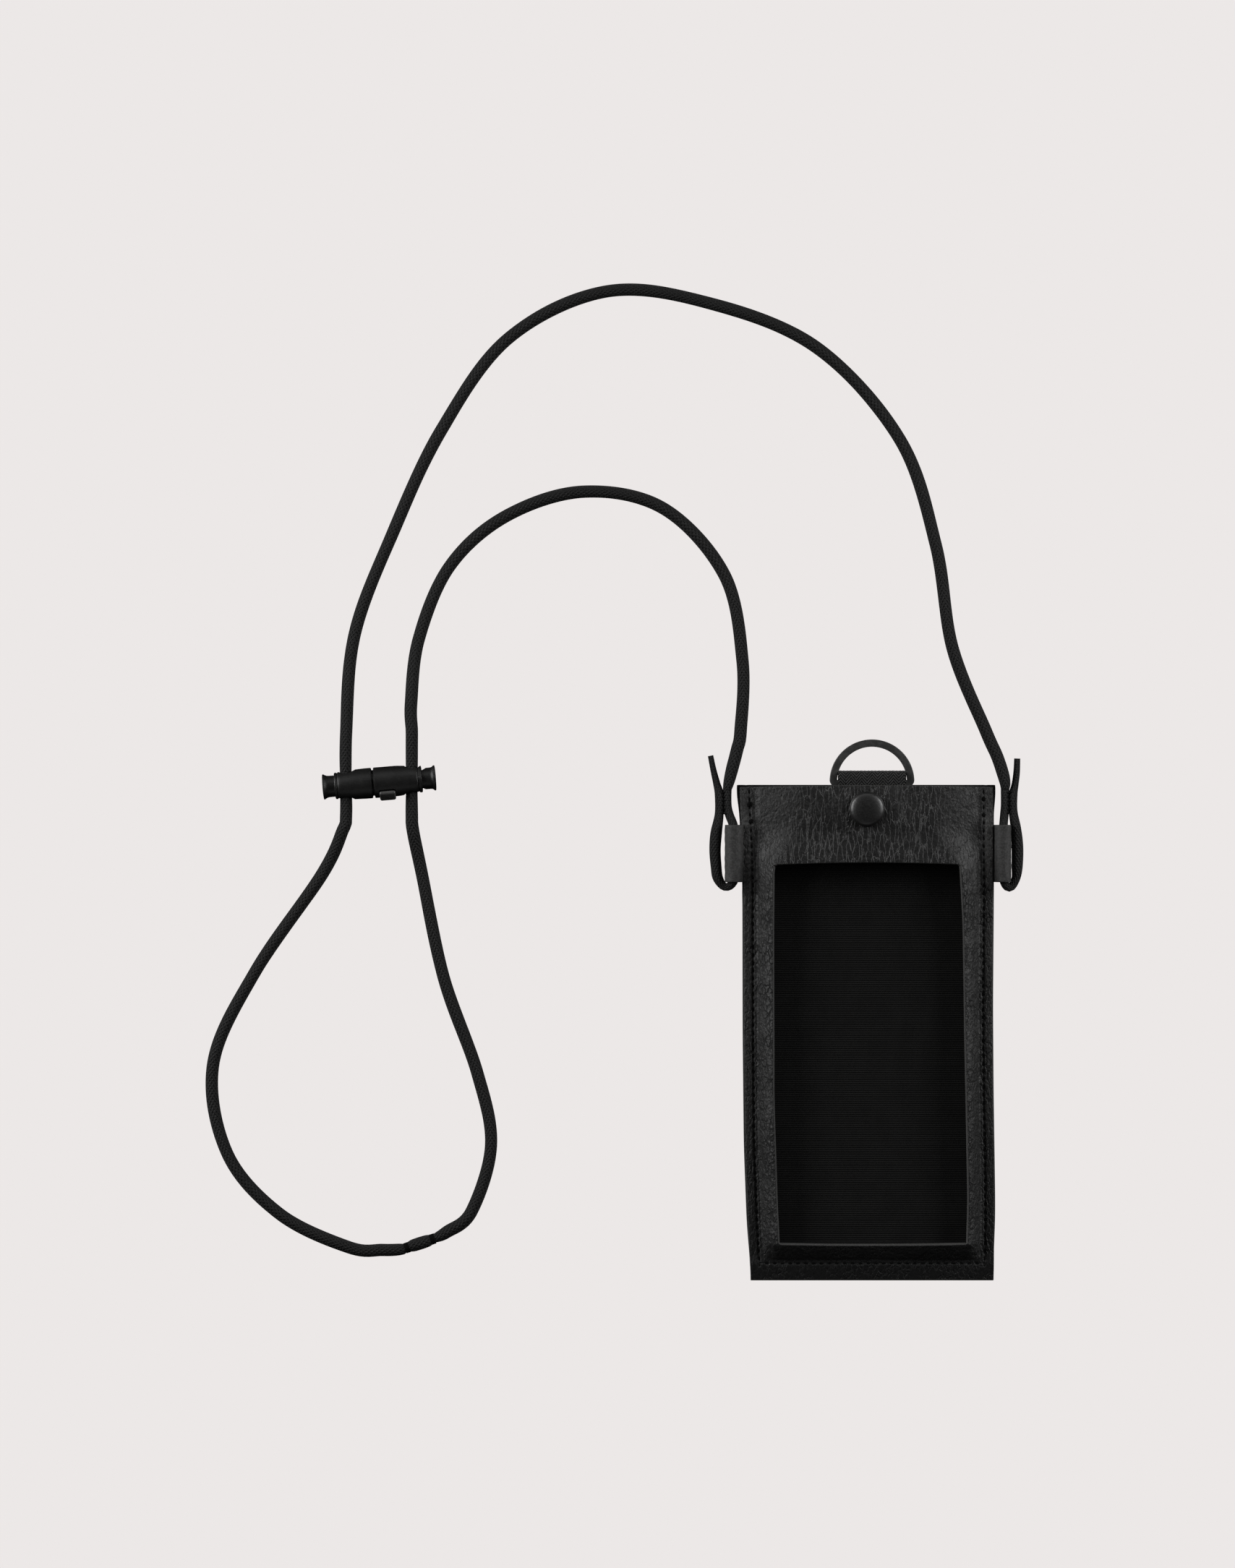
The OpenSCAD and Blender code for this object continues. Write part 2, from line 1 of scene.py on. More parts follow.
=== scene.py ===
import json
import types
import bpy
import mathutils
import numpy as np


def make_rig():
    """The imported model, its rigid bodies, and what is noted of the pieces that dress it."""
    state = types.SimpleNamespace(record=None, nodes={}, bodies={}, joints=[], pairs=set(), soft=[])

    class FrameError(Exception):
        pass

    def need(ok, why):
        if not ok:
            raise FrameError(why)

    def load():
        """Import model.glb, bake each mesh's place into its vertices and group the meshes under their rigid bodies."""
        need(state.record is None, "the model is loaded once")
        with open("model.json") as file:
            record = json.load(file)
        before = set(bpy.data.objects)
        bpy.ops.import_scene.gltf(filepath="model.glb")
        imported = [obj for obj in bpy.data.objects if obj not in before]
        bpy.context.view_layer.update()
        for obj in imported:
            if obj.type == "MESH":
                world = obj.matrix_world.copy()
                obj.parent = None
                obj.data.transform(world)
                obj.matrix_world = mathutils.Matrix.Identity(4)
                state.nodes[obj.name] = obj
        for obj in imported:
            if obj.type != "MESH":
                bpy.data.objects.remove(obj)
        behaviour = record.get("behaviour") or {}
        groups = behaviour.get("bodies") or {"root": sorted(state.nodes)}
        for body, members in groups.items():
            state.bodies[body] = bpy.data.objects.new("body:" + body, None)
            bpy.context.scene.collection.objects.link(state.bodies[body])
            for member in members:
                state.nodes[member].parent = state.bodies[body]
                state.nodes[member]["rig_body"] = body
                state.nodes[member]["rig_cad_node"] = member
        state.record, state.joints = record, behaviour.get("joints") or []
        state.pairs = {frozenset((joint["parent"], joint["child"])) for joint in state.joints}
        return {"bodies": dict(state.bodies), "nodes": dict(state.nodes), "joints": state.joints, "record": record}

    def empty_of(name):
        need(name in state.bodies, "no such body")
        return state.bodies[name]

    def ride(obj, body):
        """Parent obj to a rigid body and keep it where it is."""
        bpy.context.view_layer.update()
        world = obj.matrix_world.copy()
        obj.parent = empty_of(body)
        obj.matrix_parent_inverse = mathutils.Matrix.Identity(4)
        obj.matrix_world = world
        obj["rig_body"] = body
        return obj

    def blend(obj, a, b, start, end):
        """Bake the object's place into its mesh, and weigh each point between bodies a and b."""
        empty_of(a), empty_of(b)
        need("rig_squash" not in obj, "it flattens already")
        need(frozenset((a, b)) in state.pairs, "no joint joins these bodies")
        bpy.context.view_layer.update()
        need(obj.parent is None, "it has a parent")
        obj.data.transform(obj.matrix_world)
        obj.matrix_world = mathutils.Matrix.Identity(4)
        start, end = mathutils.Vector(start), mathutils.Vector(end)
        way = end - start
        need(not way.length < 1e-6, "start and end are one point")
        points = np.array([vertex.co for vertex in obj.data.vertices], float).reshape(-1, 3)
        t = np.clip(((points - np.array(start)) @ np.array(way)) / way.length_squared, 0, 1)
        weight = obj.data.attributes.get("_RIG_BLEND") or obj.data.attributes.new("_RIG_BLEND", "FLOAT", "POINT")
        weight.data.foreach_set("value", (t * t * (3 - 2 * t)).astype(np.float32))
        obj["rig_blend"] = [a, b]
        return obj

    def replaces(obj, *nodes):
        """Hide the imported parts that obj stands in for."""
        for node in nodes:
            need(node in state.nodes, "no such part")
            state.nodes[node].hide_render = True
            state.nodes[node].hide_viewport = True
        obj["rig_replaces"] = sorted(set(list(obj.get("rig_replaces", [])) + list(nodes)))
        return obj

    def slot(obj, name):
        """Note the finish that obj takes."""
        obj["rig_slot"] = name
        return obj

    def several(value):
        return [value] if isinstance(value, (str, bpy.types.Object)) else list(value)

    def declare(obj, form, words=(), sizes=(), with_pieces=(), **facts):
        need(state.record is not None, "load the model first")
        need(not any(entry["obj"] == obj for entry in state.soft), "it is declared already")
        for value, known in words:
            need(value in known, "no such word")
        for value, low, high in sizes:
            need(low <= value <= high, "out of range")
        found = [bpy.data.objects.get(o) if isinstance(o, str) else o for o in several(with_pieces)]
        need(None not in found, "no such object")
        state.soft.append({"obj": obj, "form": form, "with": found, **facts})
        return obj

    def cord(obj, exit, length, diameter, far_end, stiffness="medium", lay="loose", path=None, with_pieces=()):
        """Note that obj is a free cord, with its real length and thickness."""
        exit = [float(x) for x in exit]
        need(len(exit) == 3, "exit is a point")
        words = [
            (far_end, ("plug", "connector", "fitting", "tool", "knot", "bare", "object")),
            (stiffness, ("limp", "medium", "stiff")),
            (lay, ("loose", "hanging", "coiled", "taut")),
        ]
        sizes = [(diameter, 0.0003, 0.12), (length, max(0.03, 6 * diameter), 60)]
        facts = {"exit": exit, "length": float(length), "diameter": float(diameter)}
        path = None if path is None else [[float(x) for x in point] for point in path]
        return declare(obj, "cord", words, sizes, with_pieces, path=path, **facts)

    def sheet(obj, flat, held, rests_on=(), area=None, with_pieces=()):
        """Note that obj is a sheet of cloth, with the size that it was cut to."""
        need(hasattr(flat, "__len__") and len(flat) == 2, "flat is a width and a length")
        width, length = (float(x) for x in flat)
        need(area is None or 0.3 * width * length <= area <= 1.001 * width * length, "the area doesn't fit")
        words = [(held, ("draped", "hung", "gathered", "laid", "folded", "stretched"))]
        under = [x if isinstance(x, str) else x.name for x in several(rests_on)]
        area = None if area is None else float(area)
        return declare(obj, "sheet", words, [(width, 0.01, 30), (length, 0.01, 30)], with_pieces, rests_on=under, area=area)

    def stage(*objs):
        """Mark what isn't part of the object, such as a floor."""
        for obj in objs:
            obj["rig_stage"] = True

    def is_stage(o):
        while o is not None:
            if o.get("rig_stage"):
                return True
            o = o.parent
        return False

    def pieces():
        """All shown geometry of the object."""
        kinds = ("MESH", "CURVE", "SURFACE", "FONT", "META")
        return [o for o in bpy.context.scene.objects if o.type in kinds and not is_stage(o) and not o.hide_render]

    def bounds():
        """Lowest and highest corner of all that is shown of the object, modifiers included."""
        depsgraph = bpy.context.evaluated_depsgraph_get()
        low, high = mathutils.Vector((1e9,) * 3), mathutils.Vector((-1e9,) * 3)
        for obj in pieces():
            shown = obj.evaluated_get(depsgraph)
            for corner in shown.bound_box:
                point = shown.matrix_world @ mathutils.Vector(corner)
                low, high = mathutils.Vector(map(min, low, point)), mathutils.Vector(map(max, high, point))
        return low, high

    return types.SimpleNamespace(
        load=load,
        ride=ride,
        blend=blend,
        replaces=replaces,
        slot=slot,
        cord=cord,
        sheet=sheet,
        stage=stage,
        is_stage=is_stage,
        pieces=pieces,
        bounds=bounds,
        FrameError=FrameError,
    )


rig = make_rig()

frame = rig.load()
cad_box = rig.bounds()

import json
import math

import bpy
import numpy as np
from mathutils import Vector

MM = 0.001
FINE_STEPS = 24          # points between two points of a route, before it is spaced evenly


# ---------------------------------------------------------------- helpers
def lerp(a, b, t):
    return a + (b - a) * t


def ease(t):
    t = np.clip(t, 0, 1)
    return t * t * (3 - 2 * t)


def unit(v):
    v = np.asarray(v, float)
    return v / np.maximum(np.linalg.norm(v, axis=-1, keepdims=True), 1e-12)


def make(name, points, faces, finishes, which=None, normals=None, uv=None, sharp=40):
    """A mesh object from points in mm, with a finish for each face and uv per point."""
    points = np.asarray(points, float)
    mesh = bpy.data.meshes.new(name)
    mesh.from_pydata((points * MM).tolist(), [], [list(map(int, f)) for f in faces])
    for m in finishes:
        mesh.materials.append(m)
    if which is not None:
        mesh.polygons.foreach_set("material_index", np.asarray(which, np.int32))
    mesh.polygons.foreach_set("use_smooth", np.ones(len(mesh.polygons), bool))
    if uv is not None:
        layer = mesh.uv_layers.new(name="UVMap")
        loops = np.zeros(len(mesh.loops), np.int32)
        mesh.loops.foreach_get("vertex_index", loops)
        layer.data.foreach_set("uv", np.asarray(uv, np.float32)[loops].ravel())
    mesh.update()
    if normals is not None:
        mesh.normals_split_custom_set_from_vertices(unit(normals).tolist())
    elif sharp:
        mesh.set_sharp_from_angle(angle=math.radians(sharp))
    obj = bpy.data.objects.new(name, mesh)
    bpy.context.scene.collection.objects.link(obj)
    return obj


def stand_for(obj, slot, *nodes):
    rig.slot(obj, slot)
    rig.replaces(obj, *nodes)
    return obj


def place(obj, body, slot, *nodes):
    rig.ride(obj, body)
    return stand_for(obj, slot, *nodes)


class Soup:
    """Collects several closed parts into one mesh."""

    def __init__(self):
        self.points, self.faces, self.uv, self.count = [], [], [], 0

    def add(self, points, faces, uv=None):
        points = np.asarray(points, float)
        self.points.append(points)
        self.faces += [[i + self.count for i in f] for f in faces]
        self.uv.append(np.zeros((len(points), 2)) if uv is None else np.asarray(uv))
        self.count += len(points)

    def make(self, name, finish, sharp=40):
        return make(name, np.concatenate(self.points), self.faces, [finish],
                    uv=np.concatenate(self.uv), sharp=sharp)


def around(m):
    """The numbers 0 to m - 1, in order."""
    return list(range(m))


def skin(n, m, closed=False):
    """Quads over n rings of m points each; closed joins the last ring to the first."""
    return [[i * m + k, i * m + (k + 1) % m, (i + 1) % n * m + (k + 1) % m, (i + 1) % n * m + k]
            for i in range(n if closed else n - 1) for k in range(m)]


def lids(n, m):
    """The end faces of a skin of n rings."""
    return [around(m)[::-1], [(n - 1) * m + k for k in around(m)]]


def between(a, b, c, d, t):
    """A point of the smooth curve from b to c, with a and d before and after them."""
    return 0.5 * (2 * b + (c - a) * t + (2 * a - 5 * b + 4 * c - d) * t * t
                  + (3 * b - a - 3 * c + d) * t * t * t)


def run_length(points):
    """The distance along a line of points, at each of them."""
    return np.concatenate([[0], np.cumsum(np.linalg.norm(np.diff(points, axis=0), axis=1))])


def smooth_line(points, step):
    """The curve through a route's points, with a point every step mm."""
    p = np.asarray(points, float)
    last = len(p) - 1
    fine = [between(p[max(i - 1, 0)], p[i], p[i + 1], p[min(i + 2, last)], k / FINE_STEPS)
            for i in range(last) for k in range(FINE_STEPS)]
    fine = np.array(fine + [p[last]])
    s = run_length(fine[:, :3])
    n = max(2, int(round(s[-1] / step)))
    t = np.linspace(0, s[-1], n + 1)
    return np.stack([np.interp(t, s, fine[:, k]) for k in range(fine.shape[1])], 1), t


def frames(line):
    """Tangent and two cross directions at each point, without twist."""
    tangent = np.gradient(line[:, :3], axis=0)
    tangent = unit(tangent)
    side = unit(np.cross(tangent[0], [0, 0, 1]) if abs(tangent[0][2]) < 0.9 else [1, 0, 0])
    sides = []
    for t in tangent:
        side = unit(side - t * (side @ t))
        sides.append(side)
    sides = np.array(sides)
    return tangent, sides, np.cross(sides, tangent)


def sweep(line, along, section, closed=False):
    """Points, faces and uv of a section (side, up) swept along a line and scaled by its radius."""
    tangent, side, up = frames(line)
    if closed:
        tangent = unit(np.roll(line[:, :3], -1, 0) - np.roll(line[:, :3], 1, 0))
        up = np.tile([0.0, 0, 1], (len(line), 1))
        side = unit(np.cross(tangent, up))
    section = np.asarray(section, float)
    n, m = len(line), len(section)
    r = line[:, 3] if line.shape[1] > 3 else np.ones(n)
    pts = (line[:, None, :3] + r[:, None, None] * (section[None, :, :1] * side[:, None]
                                                  + section[None, :, 1:] * up[:, None]))
    v = run_length(section)
    uv = np.stack(np.broadcast_arrays(np.asarray(along)[:, None], v[None]), -1).reshape(-1, 2)
    pts = pts.reshape(-1, 3)
    faces = skin(n, m, closed)
    if not closed:
        for ring, order in ((0, -1), (n - 1, 1)):
            base = len(pts)
            pts = np.concatenate([pts, pts[ring * m:(ring + 1) * m]])
            uv = np.concatenate([uv, uv[ring * m:(ring + 1) * m]])
            faces.append([base + k for k in around(m)][::order])
    return pts, faces, uv


def circle(sides):
    a = np.arange(sides) * 2 * math.pi / sides
    return np.stack([np.cos(a), -np.sin(a)], 1)


def corners(x0, y0, x1, y1, r, steps):
    """Round a rectangle with round corners: the middle of each corner and the direction from it."""
    return [(cx, cy, math.cos(a), math.sin(a))
            for cx, cy, start in ((x1 - r, y1 - r, 0), (x0 + r, y1 - r, 90), (x0 + r, y0 + r, 180),
                                  (x1 - r, y0 + r, 270))
            for a in (math.radians(start + 90 * k / steps) for k in range(steps + 1))]


def lathe(profile, steps=64, cap=True):
    """A turned solid about the u axis, from (u, radius) pairs in order of rising u."""
    profile = np.asarray(profile, float)
    a = np.arange(steps) * 2 * math.pi / steps
    n = len(profile)
    pts = np.stack([np.repeat(profile[:, 0], steps), np.outer(profile[:, 1], np.cos(a)).ravel(),
                    np.outer(profile[:, 1], np.sin(a)).ravel()], 1)
    return pts, skin(n, steps) + (lids(n, steps) if cap else [])


def rounded(profile, radius, steps=4):
    """The same open profile with each corner rounded."""
    p = [np.asarray(q, float) for q in profile]
    out = [p[0]]
    for a, b, c in zip(p, p[1:], p[2:]):
        u, v = a - b, c - b
        lu, lv = np.linalg.norm(u), np.linalg.norm(v)
        r = min(radius, lu * 0.45, lv * 0.45)
        s, e = b + u / lu * r, b + v / lv * r
        for k in range(steps + 1):
            t = k / steps
            out.append((1 - t) ** 2 * s + 2 * t * (1 - t) * b + t * t * e)
    out.append(p[-1])
    return np.array(out)


def carve(obj, *cutters):
    """Cuts closed solids out of obj, then removes them."""
    for cutter in cutters:
        m = obj.modifiers.new("cut", "BOOLEAN")
        m.operation, m.solver, m.object = "DIFFERENCE", "EXACT", cutter
    bake(obj)
    for cutter in cutters:
        bpy.data.objects.remove(cutter)


def bake(obj):
    """Applies an object's modifiers."""
    bpy.context.view_layer.update()
    graph = bpy.context.evaluated_depsgraph_get()
    mesh = bpy.data.meshes.new_from_object(obj.evaluated_get(graph))
    old = obj.data
    obj.modifiers.clear()
    obj.data = mesh
    bpy.data.meshes.remove(old)
    mesh.name = obj.name


def soften(obj, width, segments=3, angle=35):
    """Rounds the sharp edges of a carved piece."""
    m = obj.modifiers.new("edge", "BEVEL")
    m.width, m.segments, m.limit_method = width * MM, segments, "ANGLE"
    m.angle_limit = math.radians(angle)
    m.use_clamp_overlap = True
    bake(obj)
    obj.data.polygons.foreach_set("use_smooth", np.ones(len(obj.data.polygons), bool))
    obj.data.set_sharp_from_angle(angle=math.radians(50))


# ---------------------------------------------------------------- finishes
def node(tree, kind, inputs=None, **settings):
    """A shader node; an input is a socket to link from, or a value."""
    n = tree.nodes.new("ShaderNode" + kind)
    for key, value in settings.items():
        setattr(n, key, value)
    for key, value in (inputs or {}).items():
        if isinstance(value, bpy.types.NodeSocket):
            tree.links.new(value, n.inputs[key])
        else:
            n.inputs[key].default_value = value
    return n


SOCKETS = {"color": "Base Color", "rough": "Roughness", "normal": "Normal", "metal": "Metallic",
           "specular": "Specular IOR Level", "coat": "Coat Weight", "coat_rough": "Coat Roughness",
           "sheen": "Sheen Weight", "sheen_rough": "Sheen Roughness"}


class Finish:
    """A procedural material: positions come in mm."""

    def __init__(self, name, uv=False):
        self.material = bpy.data.materials.new(name)
        self.material.use_nodes = True
        self.tree = self.material.node_tree
        self.shader = self.tree.nodes["Principled BSDF"]
        at = node(self.tree, "TexCoord")
        if uv:
            self.mm = at.outputs["UV"]
        else:
            self.mm = node(self.tree, "VectorMath", {0: at.outputs["Object"], "Scale": 1 / MM},
                           operation="SCALE").outputs["Vector"]

    def turned(self, scale=(1, 1, 1), angle=(0, 0, 0)):
        return node(self.tree, "Mapping", {"Vector": self.mm, "Scale": scale,
                    "Rotation": tuple(math.radians(a) for a in angle)}).outputs["Vector"]

    def noise(self, scale, detail=3.0, rough=0.55, vector=None):
        return node(self.tree, "TexNoise", {"Vector": vector or self.mm, "Scale": scale,
                    "Detail": detail, "Roughness": rough}).outputs["Fac"]

    def cells(self, scale, feature, vector=None):
        return node(self.tree, "TexVoronoi", {"Vector": vector or self.mm, "Scale": scale},
                    feature=feature).outputs["Distance"]

    def math(self, kind, a, b=0.0, c=0.0):
        return node(self.tree, "Math", {0: a, 1: b, 2: c}, operation=kind).outputs[0]

    def mul(self, a, b):
        return self.math("MULTIPLY", a, b)

    def wave(self, value, length):
        """A sine of the value, from -1 to 1, with the given wavelength."""
        return self.math("SINE", self.mul(value, 2 * math.pi / length))

    def axis(self, k, vector=None):
        return node(self.tree, "SeparateXYZ", {0: vector or self.mm}).outputs[k]

    def ramp(self, value, low, high, out_low=0.0, out_high=1.0):
        """A smooth step from out_low, where the value is low, to out_high."""
        inputs = {"Value": value, "From Min": low, "From Max": high, "To Min": out_low,
                  "To Max": out_high}
        return node(self.tree, "MapRange", inputs, interpolation_type="SMOOTHSTEP").outputs[0]

    def blend(self, factor, a, b):
        n = node(self.tree, "Mix", {"Factor": factor}, data_type="RGBA")
        for socket, value in ((n.inputs[6], a), (n.inputs[7], b)):
            if isinstance(value, bpy.types.NodeSocket):
                self.tree.links.new(value, socket)
            else:
                socket.default_value = grey(value)
        return n.outputs[2]

    def spots(self, base, value, low, high, share, color):
        """The base colour, blended by up to share with another where the value is high."""
        return self.blend(self.ramp(value, low, high, 0.0, share), base, color)

    def bump(self, height, depth, under=None):
        inputs = {"Height": height, "Distance": depth * MM, "Strength": 1.0}
        if under is not None:
            inputs["Normal"] = under
        return node(self.tree, "Bump", inputs).outputs["Normal"]

    def set(self, **values):
        """Sets the shader's sockets, each from a value or a linked socket."""
        for key, value in values.items():
            socket = self.shader.inputs[SOCKETS[key]]
            if isinstance(value, bpy.types.NodeSocket):
                self.tree.links.new(value, socket)
            else:
                socket.default_value = grey(value) if key == "color" else value
        return self.material


def grey(value):
    """A colour from one number, very slightly warm."""
    return (value, value * 0.985, value * 0.965, 1) if isinstance(value, (int, float)) else value


def leather_finish():
    """Grained leather: light upright creases in the mouth band, painted as glints, and dark slanted ones elsewhere,
    painted as shade; painted light also lightens the strips and flanges, and painted shade darkens the seam grooves
    and the bottom.
    """
    f = Finish("leather")
    x, y = f.axis(0), f.axis(1)
    pebble = f.cells(1.15, "SMOOTH_F1")
    fine = f.noise(3.4, 4.0, 0.65)
    band = f.mul(f.ramp(y, 50, 66), f.ramp(f.math("ABSOLUTE", x), 44.5, 41))

    patch = f.ramp(f.noise(0.16, 3.0), 0.36, 0.60, 0.25, 1.0)

    def creases(angle, wide, tall, width, where):
        """A net of creases, swayed by noise; 1 in a crease."""
        turned = f.turned((wide, tall, 0.4), (0, 0, angle))
        sway = node(f.tree, "TexNoise", {"Vector": turned, "Scale": 1.3, "Detail": 2.0})
        moved = node(f.tree, "VectorMath", {0: sway.outputs["Color"], 1: (1.1, 1.1, 1.1),
                     2: turned}, operation="MULTIPLY_ADD").outputs["Vector"]
        net = f.ramp(f.cells(1.0, "DISTANCE_TO_EDGE", moved), 0.0, width, 1.0, 0.0)
        return f.mul(f.mul(net, patch), where)

    off_band = f.math("SUBTRACT", 1.0, band)
    upright = creases(0, 0.60, 0.15, 0.07, band)
    slanted = creases(-62, 0.60, 0.30, 0.17, off_band)
    height = f.math("MULTIPLY_ADD", pebble, -0.55, f.mul(fine, 0.30))
    height = f.math("MULTIPLY_ADD", f.math("ADD", upright, slanted), -0.75, height)
    base = f.blend(f.ramp(f.noise(0.12, 3.0), 0.3, 0.7), 0.0035, 0.0065)
    # painted light: the mouth band turns lighter towards its top edge, where the top lamp falls
    base = f.blend(f.mul(band, f.ramp(y, 72, 86)), base, 0.020)
    # painted light: off the mouth band the leather is made lighter towards the top, standing for the side strips
    # catching the lamps, which are nearer the top
    painted_light = f.mul(off_band, f.ramp(y, -80, 75))
    base = f.blend(painted_light, base, 0.022)
    # painted light: the flange attribute lightens the flat border outside the seams, most beside the tabs and just
    # below the bottom stitch row, and less towards the bottom
    flange = node(f.tree, "Attribute", attribute_name="flange").outputs["Fac"]
    base = f.blend(flange, base, 0.062)
    base = f.blend(f.mul(f.ramp(fine, 0.55, 0.78), 0.35), base, 0.030)
    base = f.blend(f.mul(f.ramp(pebble, 0.30, 0.55), 0.45), base, 0.002)
    # painted shade: below the bottom stitch row the leather is darkened almost to black, as that fold faces away from
    # the lamps
    base = f.blend(f.ramp(y, -83.5, -81.5, 0.95, 0.0), base, 0.001)
    # painted highlight: the upright creases of the mouth band are made light, standing for the glint of their edges
    base = f.blend(f.mul(upright, 0.55), base, 0.044)
    # painted shade: the slanted creases elsewhere are darkened almost to black
    base = f.blend(f.mul(slanted, 0.8), base, 0.001)
    # painted shade: the seam attribute darkens the leather in the stitch grooves; it also roughens them
    seam = node(f.tree, "Attribute", attribute_name="seam").outputs["Fac"]
    base = f.blend(f.mul(seam, 0.8), base, 0.002)
    rough = f.math("ADD", f.ramp(fine, 0.3, 0.7, 0.42, 0.58), f.mul(seam, 0.3))
    rough = f.math("MULTIPLY_ADD", slanted, 0.35, rough)
    soft = f.bump(f.noise(0.50, 3.0), 0.28)
    return f.set(color=base, rough=rough, normal=f.bump(height, 0.26, soft), specular=0.5)


def edge_finish():
    f = Finish("cut_edge")
    fibre = f.noise(3.2, 5.0, 0.7)
    layer = f.noise(1.0, 2.0, 0.5, f.turned((0.35, 0.35, 4.5)))
    base = f.blend(f.ramp(fibre, 0.35, 0.7), 0.030, 0.085)
    base = f.blend(f.ramp(layer, 0.45, 0.6), base, 0.050)
    return f.set(color=base, rough=0.72, normal=f.bump(fibre, 0.12), specular=0.35)


def tab_finish():
    f = Finish("tab_leather")
    rub = f.noise(1.5, 5.0, 0.7)
    fine = f.noise(5.5, 4.0, 0.7)
    base = f.blend(f.ramp(rub, 0.38, 0.66), 0.022, 0.060)
    base = f.blend(f.mul(f.ramp(fine, 0.55, 0.75), 0.6), base, 0.10)
    height = f.math("ADD", rub, f.mul(fine, 0.6))
    return f.set(color=base, rough=0.6, normal=f.bump(height, 0.15), specular=0.5)


def lining_finish():
    f = Finish("ribbed_lining")
    wave = f.wave(f.axis(1), RIB_PITCH)
    thread = f.noise(1.0, 3.0, 0.6, f.turned((2.4, 1.5, 1.5)))
    uneven = f.noise(0.12, 3.0, 0.6)
    # painted light and shade on the ribs: light along their crests, near black in the gaps between them
    base = f.blend(f.ramp(wave, -0.4, 0.9), 0.0004, 0.0185)
    base = f.spots(base, thread, 0.45, 0.75, 0.35, 0.016)
    base = f.spots(base, uneven, 0.35, 0.7, 0.35, 0.004)
    streak = f.noise(0.10, 2.0, 0.5, f.turned((1.6, 0.22, 1), (0, 0, -8)))
    base = f.spots(base, streak, 0.50, 0.75, 0.25, 0.013)
    return f.set(color=base, rough=0.78, normal=f.bump(thread, 0.08), specular=0.13,
                 sheen=0.03, sheen_rough=0.5)


def webbing_finish():
    f = Finish("webbing", uv=True)
    u, v = f.axis(0), f.axis(1)
    column = f.math("PINGPONG", u, WALE_COLUMN)
    wale = f.wave(f.math("ADD", f.mul(column, WALE_SLANT), v), WALE_PITCH)
    strand = f.wave(f.math("SUBTRACT", u, v), STRAND_PITCH)
    height = f.math("MULTIPLY_ADD", strand, 0.12, wale)
    fuzz = f.noise(2.2, 4.0, 0.7)
    base = f.blend(f.ramp(wale, -0.3, 0.9), 0.0008, 0.060)
    base = f.spots(base, fuzz, 0.5, 0.8, 0.4, 0.045)
    return f.set(color=base, rough=0.75, normal=f.bump(height, 0.3), specular=0.25,
                 sheen=0.1, sheen_rough=0.4)


def thread_finish():
    f = Finish("thread")
    ply = f.wave(f.axis(1, f.turned(angle=(0, 0, 35))), PLY_PITCH)
    fuzz = f.noise(6.0, 3.0)
    base = f.blend(f.ramp(ply, -0.8, 0.8), 0.0012, 0.0045)
    base = f.spots(base, fuzz, 0.5, 0.8, 0.4, 0.008)
    return f.set(color=base, rough=0.85, normal=f.bump(ply, 0.05), specular=0.12)


def cord_finish():
    f = Finish("cord", uv=True)
    s, a = f.axis(0), f.axis(1)
    left, right = (f.wave(f.math("MULTIPLY_ADD", a, slant, s), CORD_WEAVE)
                   for slant in (1.414, -1.414))
    weave = f.math("MAXIMUM", left, right)
    fuzz = f.noise(3.0, 4.0, 0.7)
    slow = f.noise(0.25, 2.0)
    base = f.blend(f.ramp(weave, -0.2, 0.95), 0.0015, 0.0085)
    base = f.spots(base, fuzz, 0.5, 0.85, 0.5, 0.018)
    base = f.spots(base, slow, 0.35, 0.65, 0.25, 0.006)
    height = f.math("MULTIPLY_ADD", fuzz, 0.5, weave)
    return f.set(color=base, rough=0.68, normal=f.bump(height, 0.16), specular=0.35,
                 sheen=0.05, sheen_rough=0.4)


def metal_finish():
    f = Finish("coated_metal")
    grain = f.noise(3.5, 4.0, 0.65)
    rub = f.noise(0.5, 3.0, 0.6)
    base = f.blend(f.ramp(rub, 0.4, 0.7), 0.042, 0.058)
    base = f.spots(base, grain, 0.62, 0.8, 0.5, 0.11)
    return f.set(color=base, rough=f.ramp(rub, 0.3, 0.7, 0.42, 0.55), metal=0.0, specular=0.55,
                 normal=f.bump(grain, 0.05), coat=0.1, coat_rough=0.4)


def snap_finish():
    f = Finish("snap_metal")
    grain = f.noise(2.0, 4.0, 0.6)
    base = f.blend(f.ramp(grain, 0.35, 0.7), 0.006, 0.011)
    return f.set(color=base, rough=f.ramp(grain, 0.3, 0.7, 0.38, 0.50), specular=0.8,
                 normal=f.bump(grain, 0.05), coat=0.2, coat_rough=0.35)


def plastic_finish(name, dark, light):
    f = Finish(name)
    spark = f.noise(4.0, 4.0, 0.65)
    flow = f.noise(0.35, 2.0)
    base = f.blend(f.ramp(flow, 0.35, 0.65), dark, light)
    base = f.spots(base, spark, 0.52, 0.72, 0.5, light * 3)
    return f.set(color=base, rough=f.ramp(spark, 0.3, 0.7, 0.36, 0.50), specular=0.5,
                 normal=f.bump(spark, 0.05))


def steel_finish():
    f = Finish("spring_steel")
    drawn = f.noise(3.0, 3.0)
    return f.set(color=f.blend(drawn, 0.35, 0.5), metal=1.0, rough=0.3, normal=f.bump(drawn, 0.01))


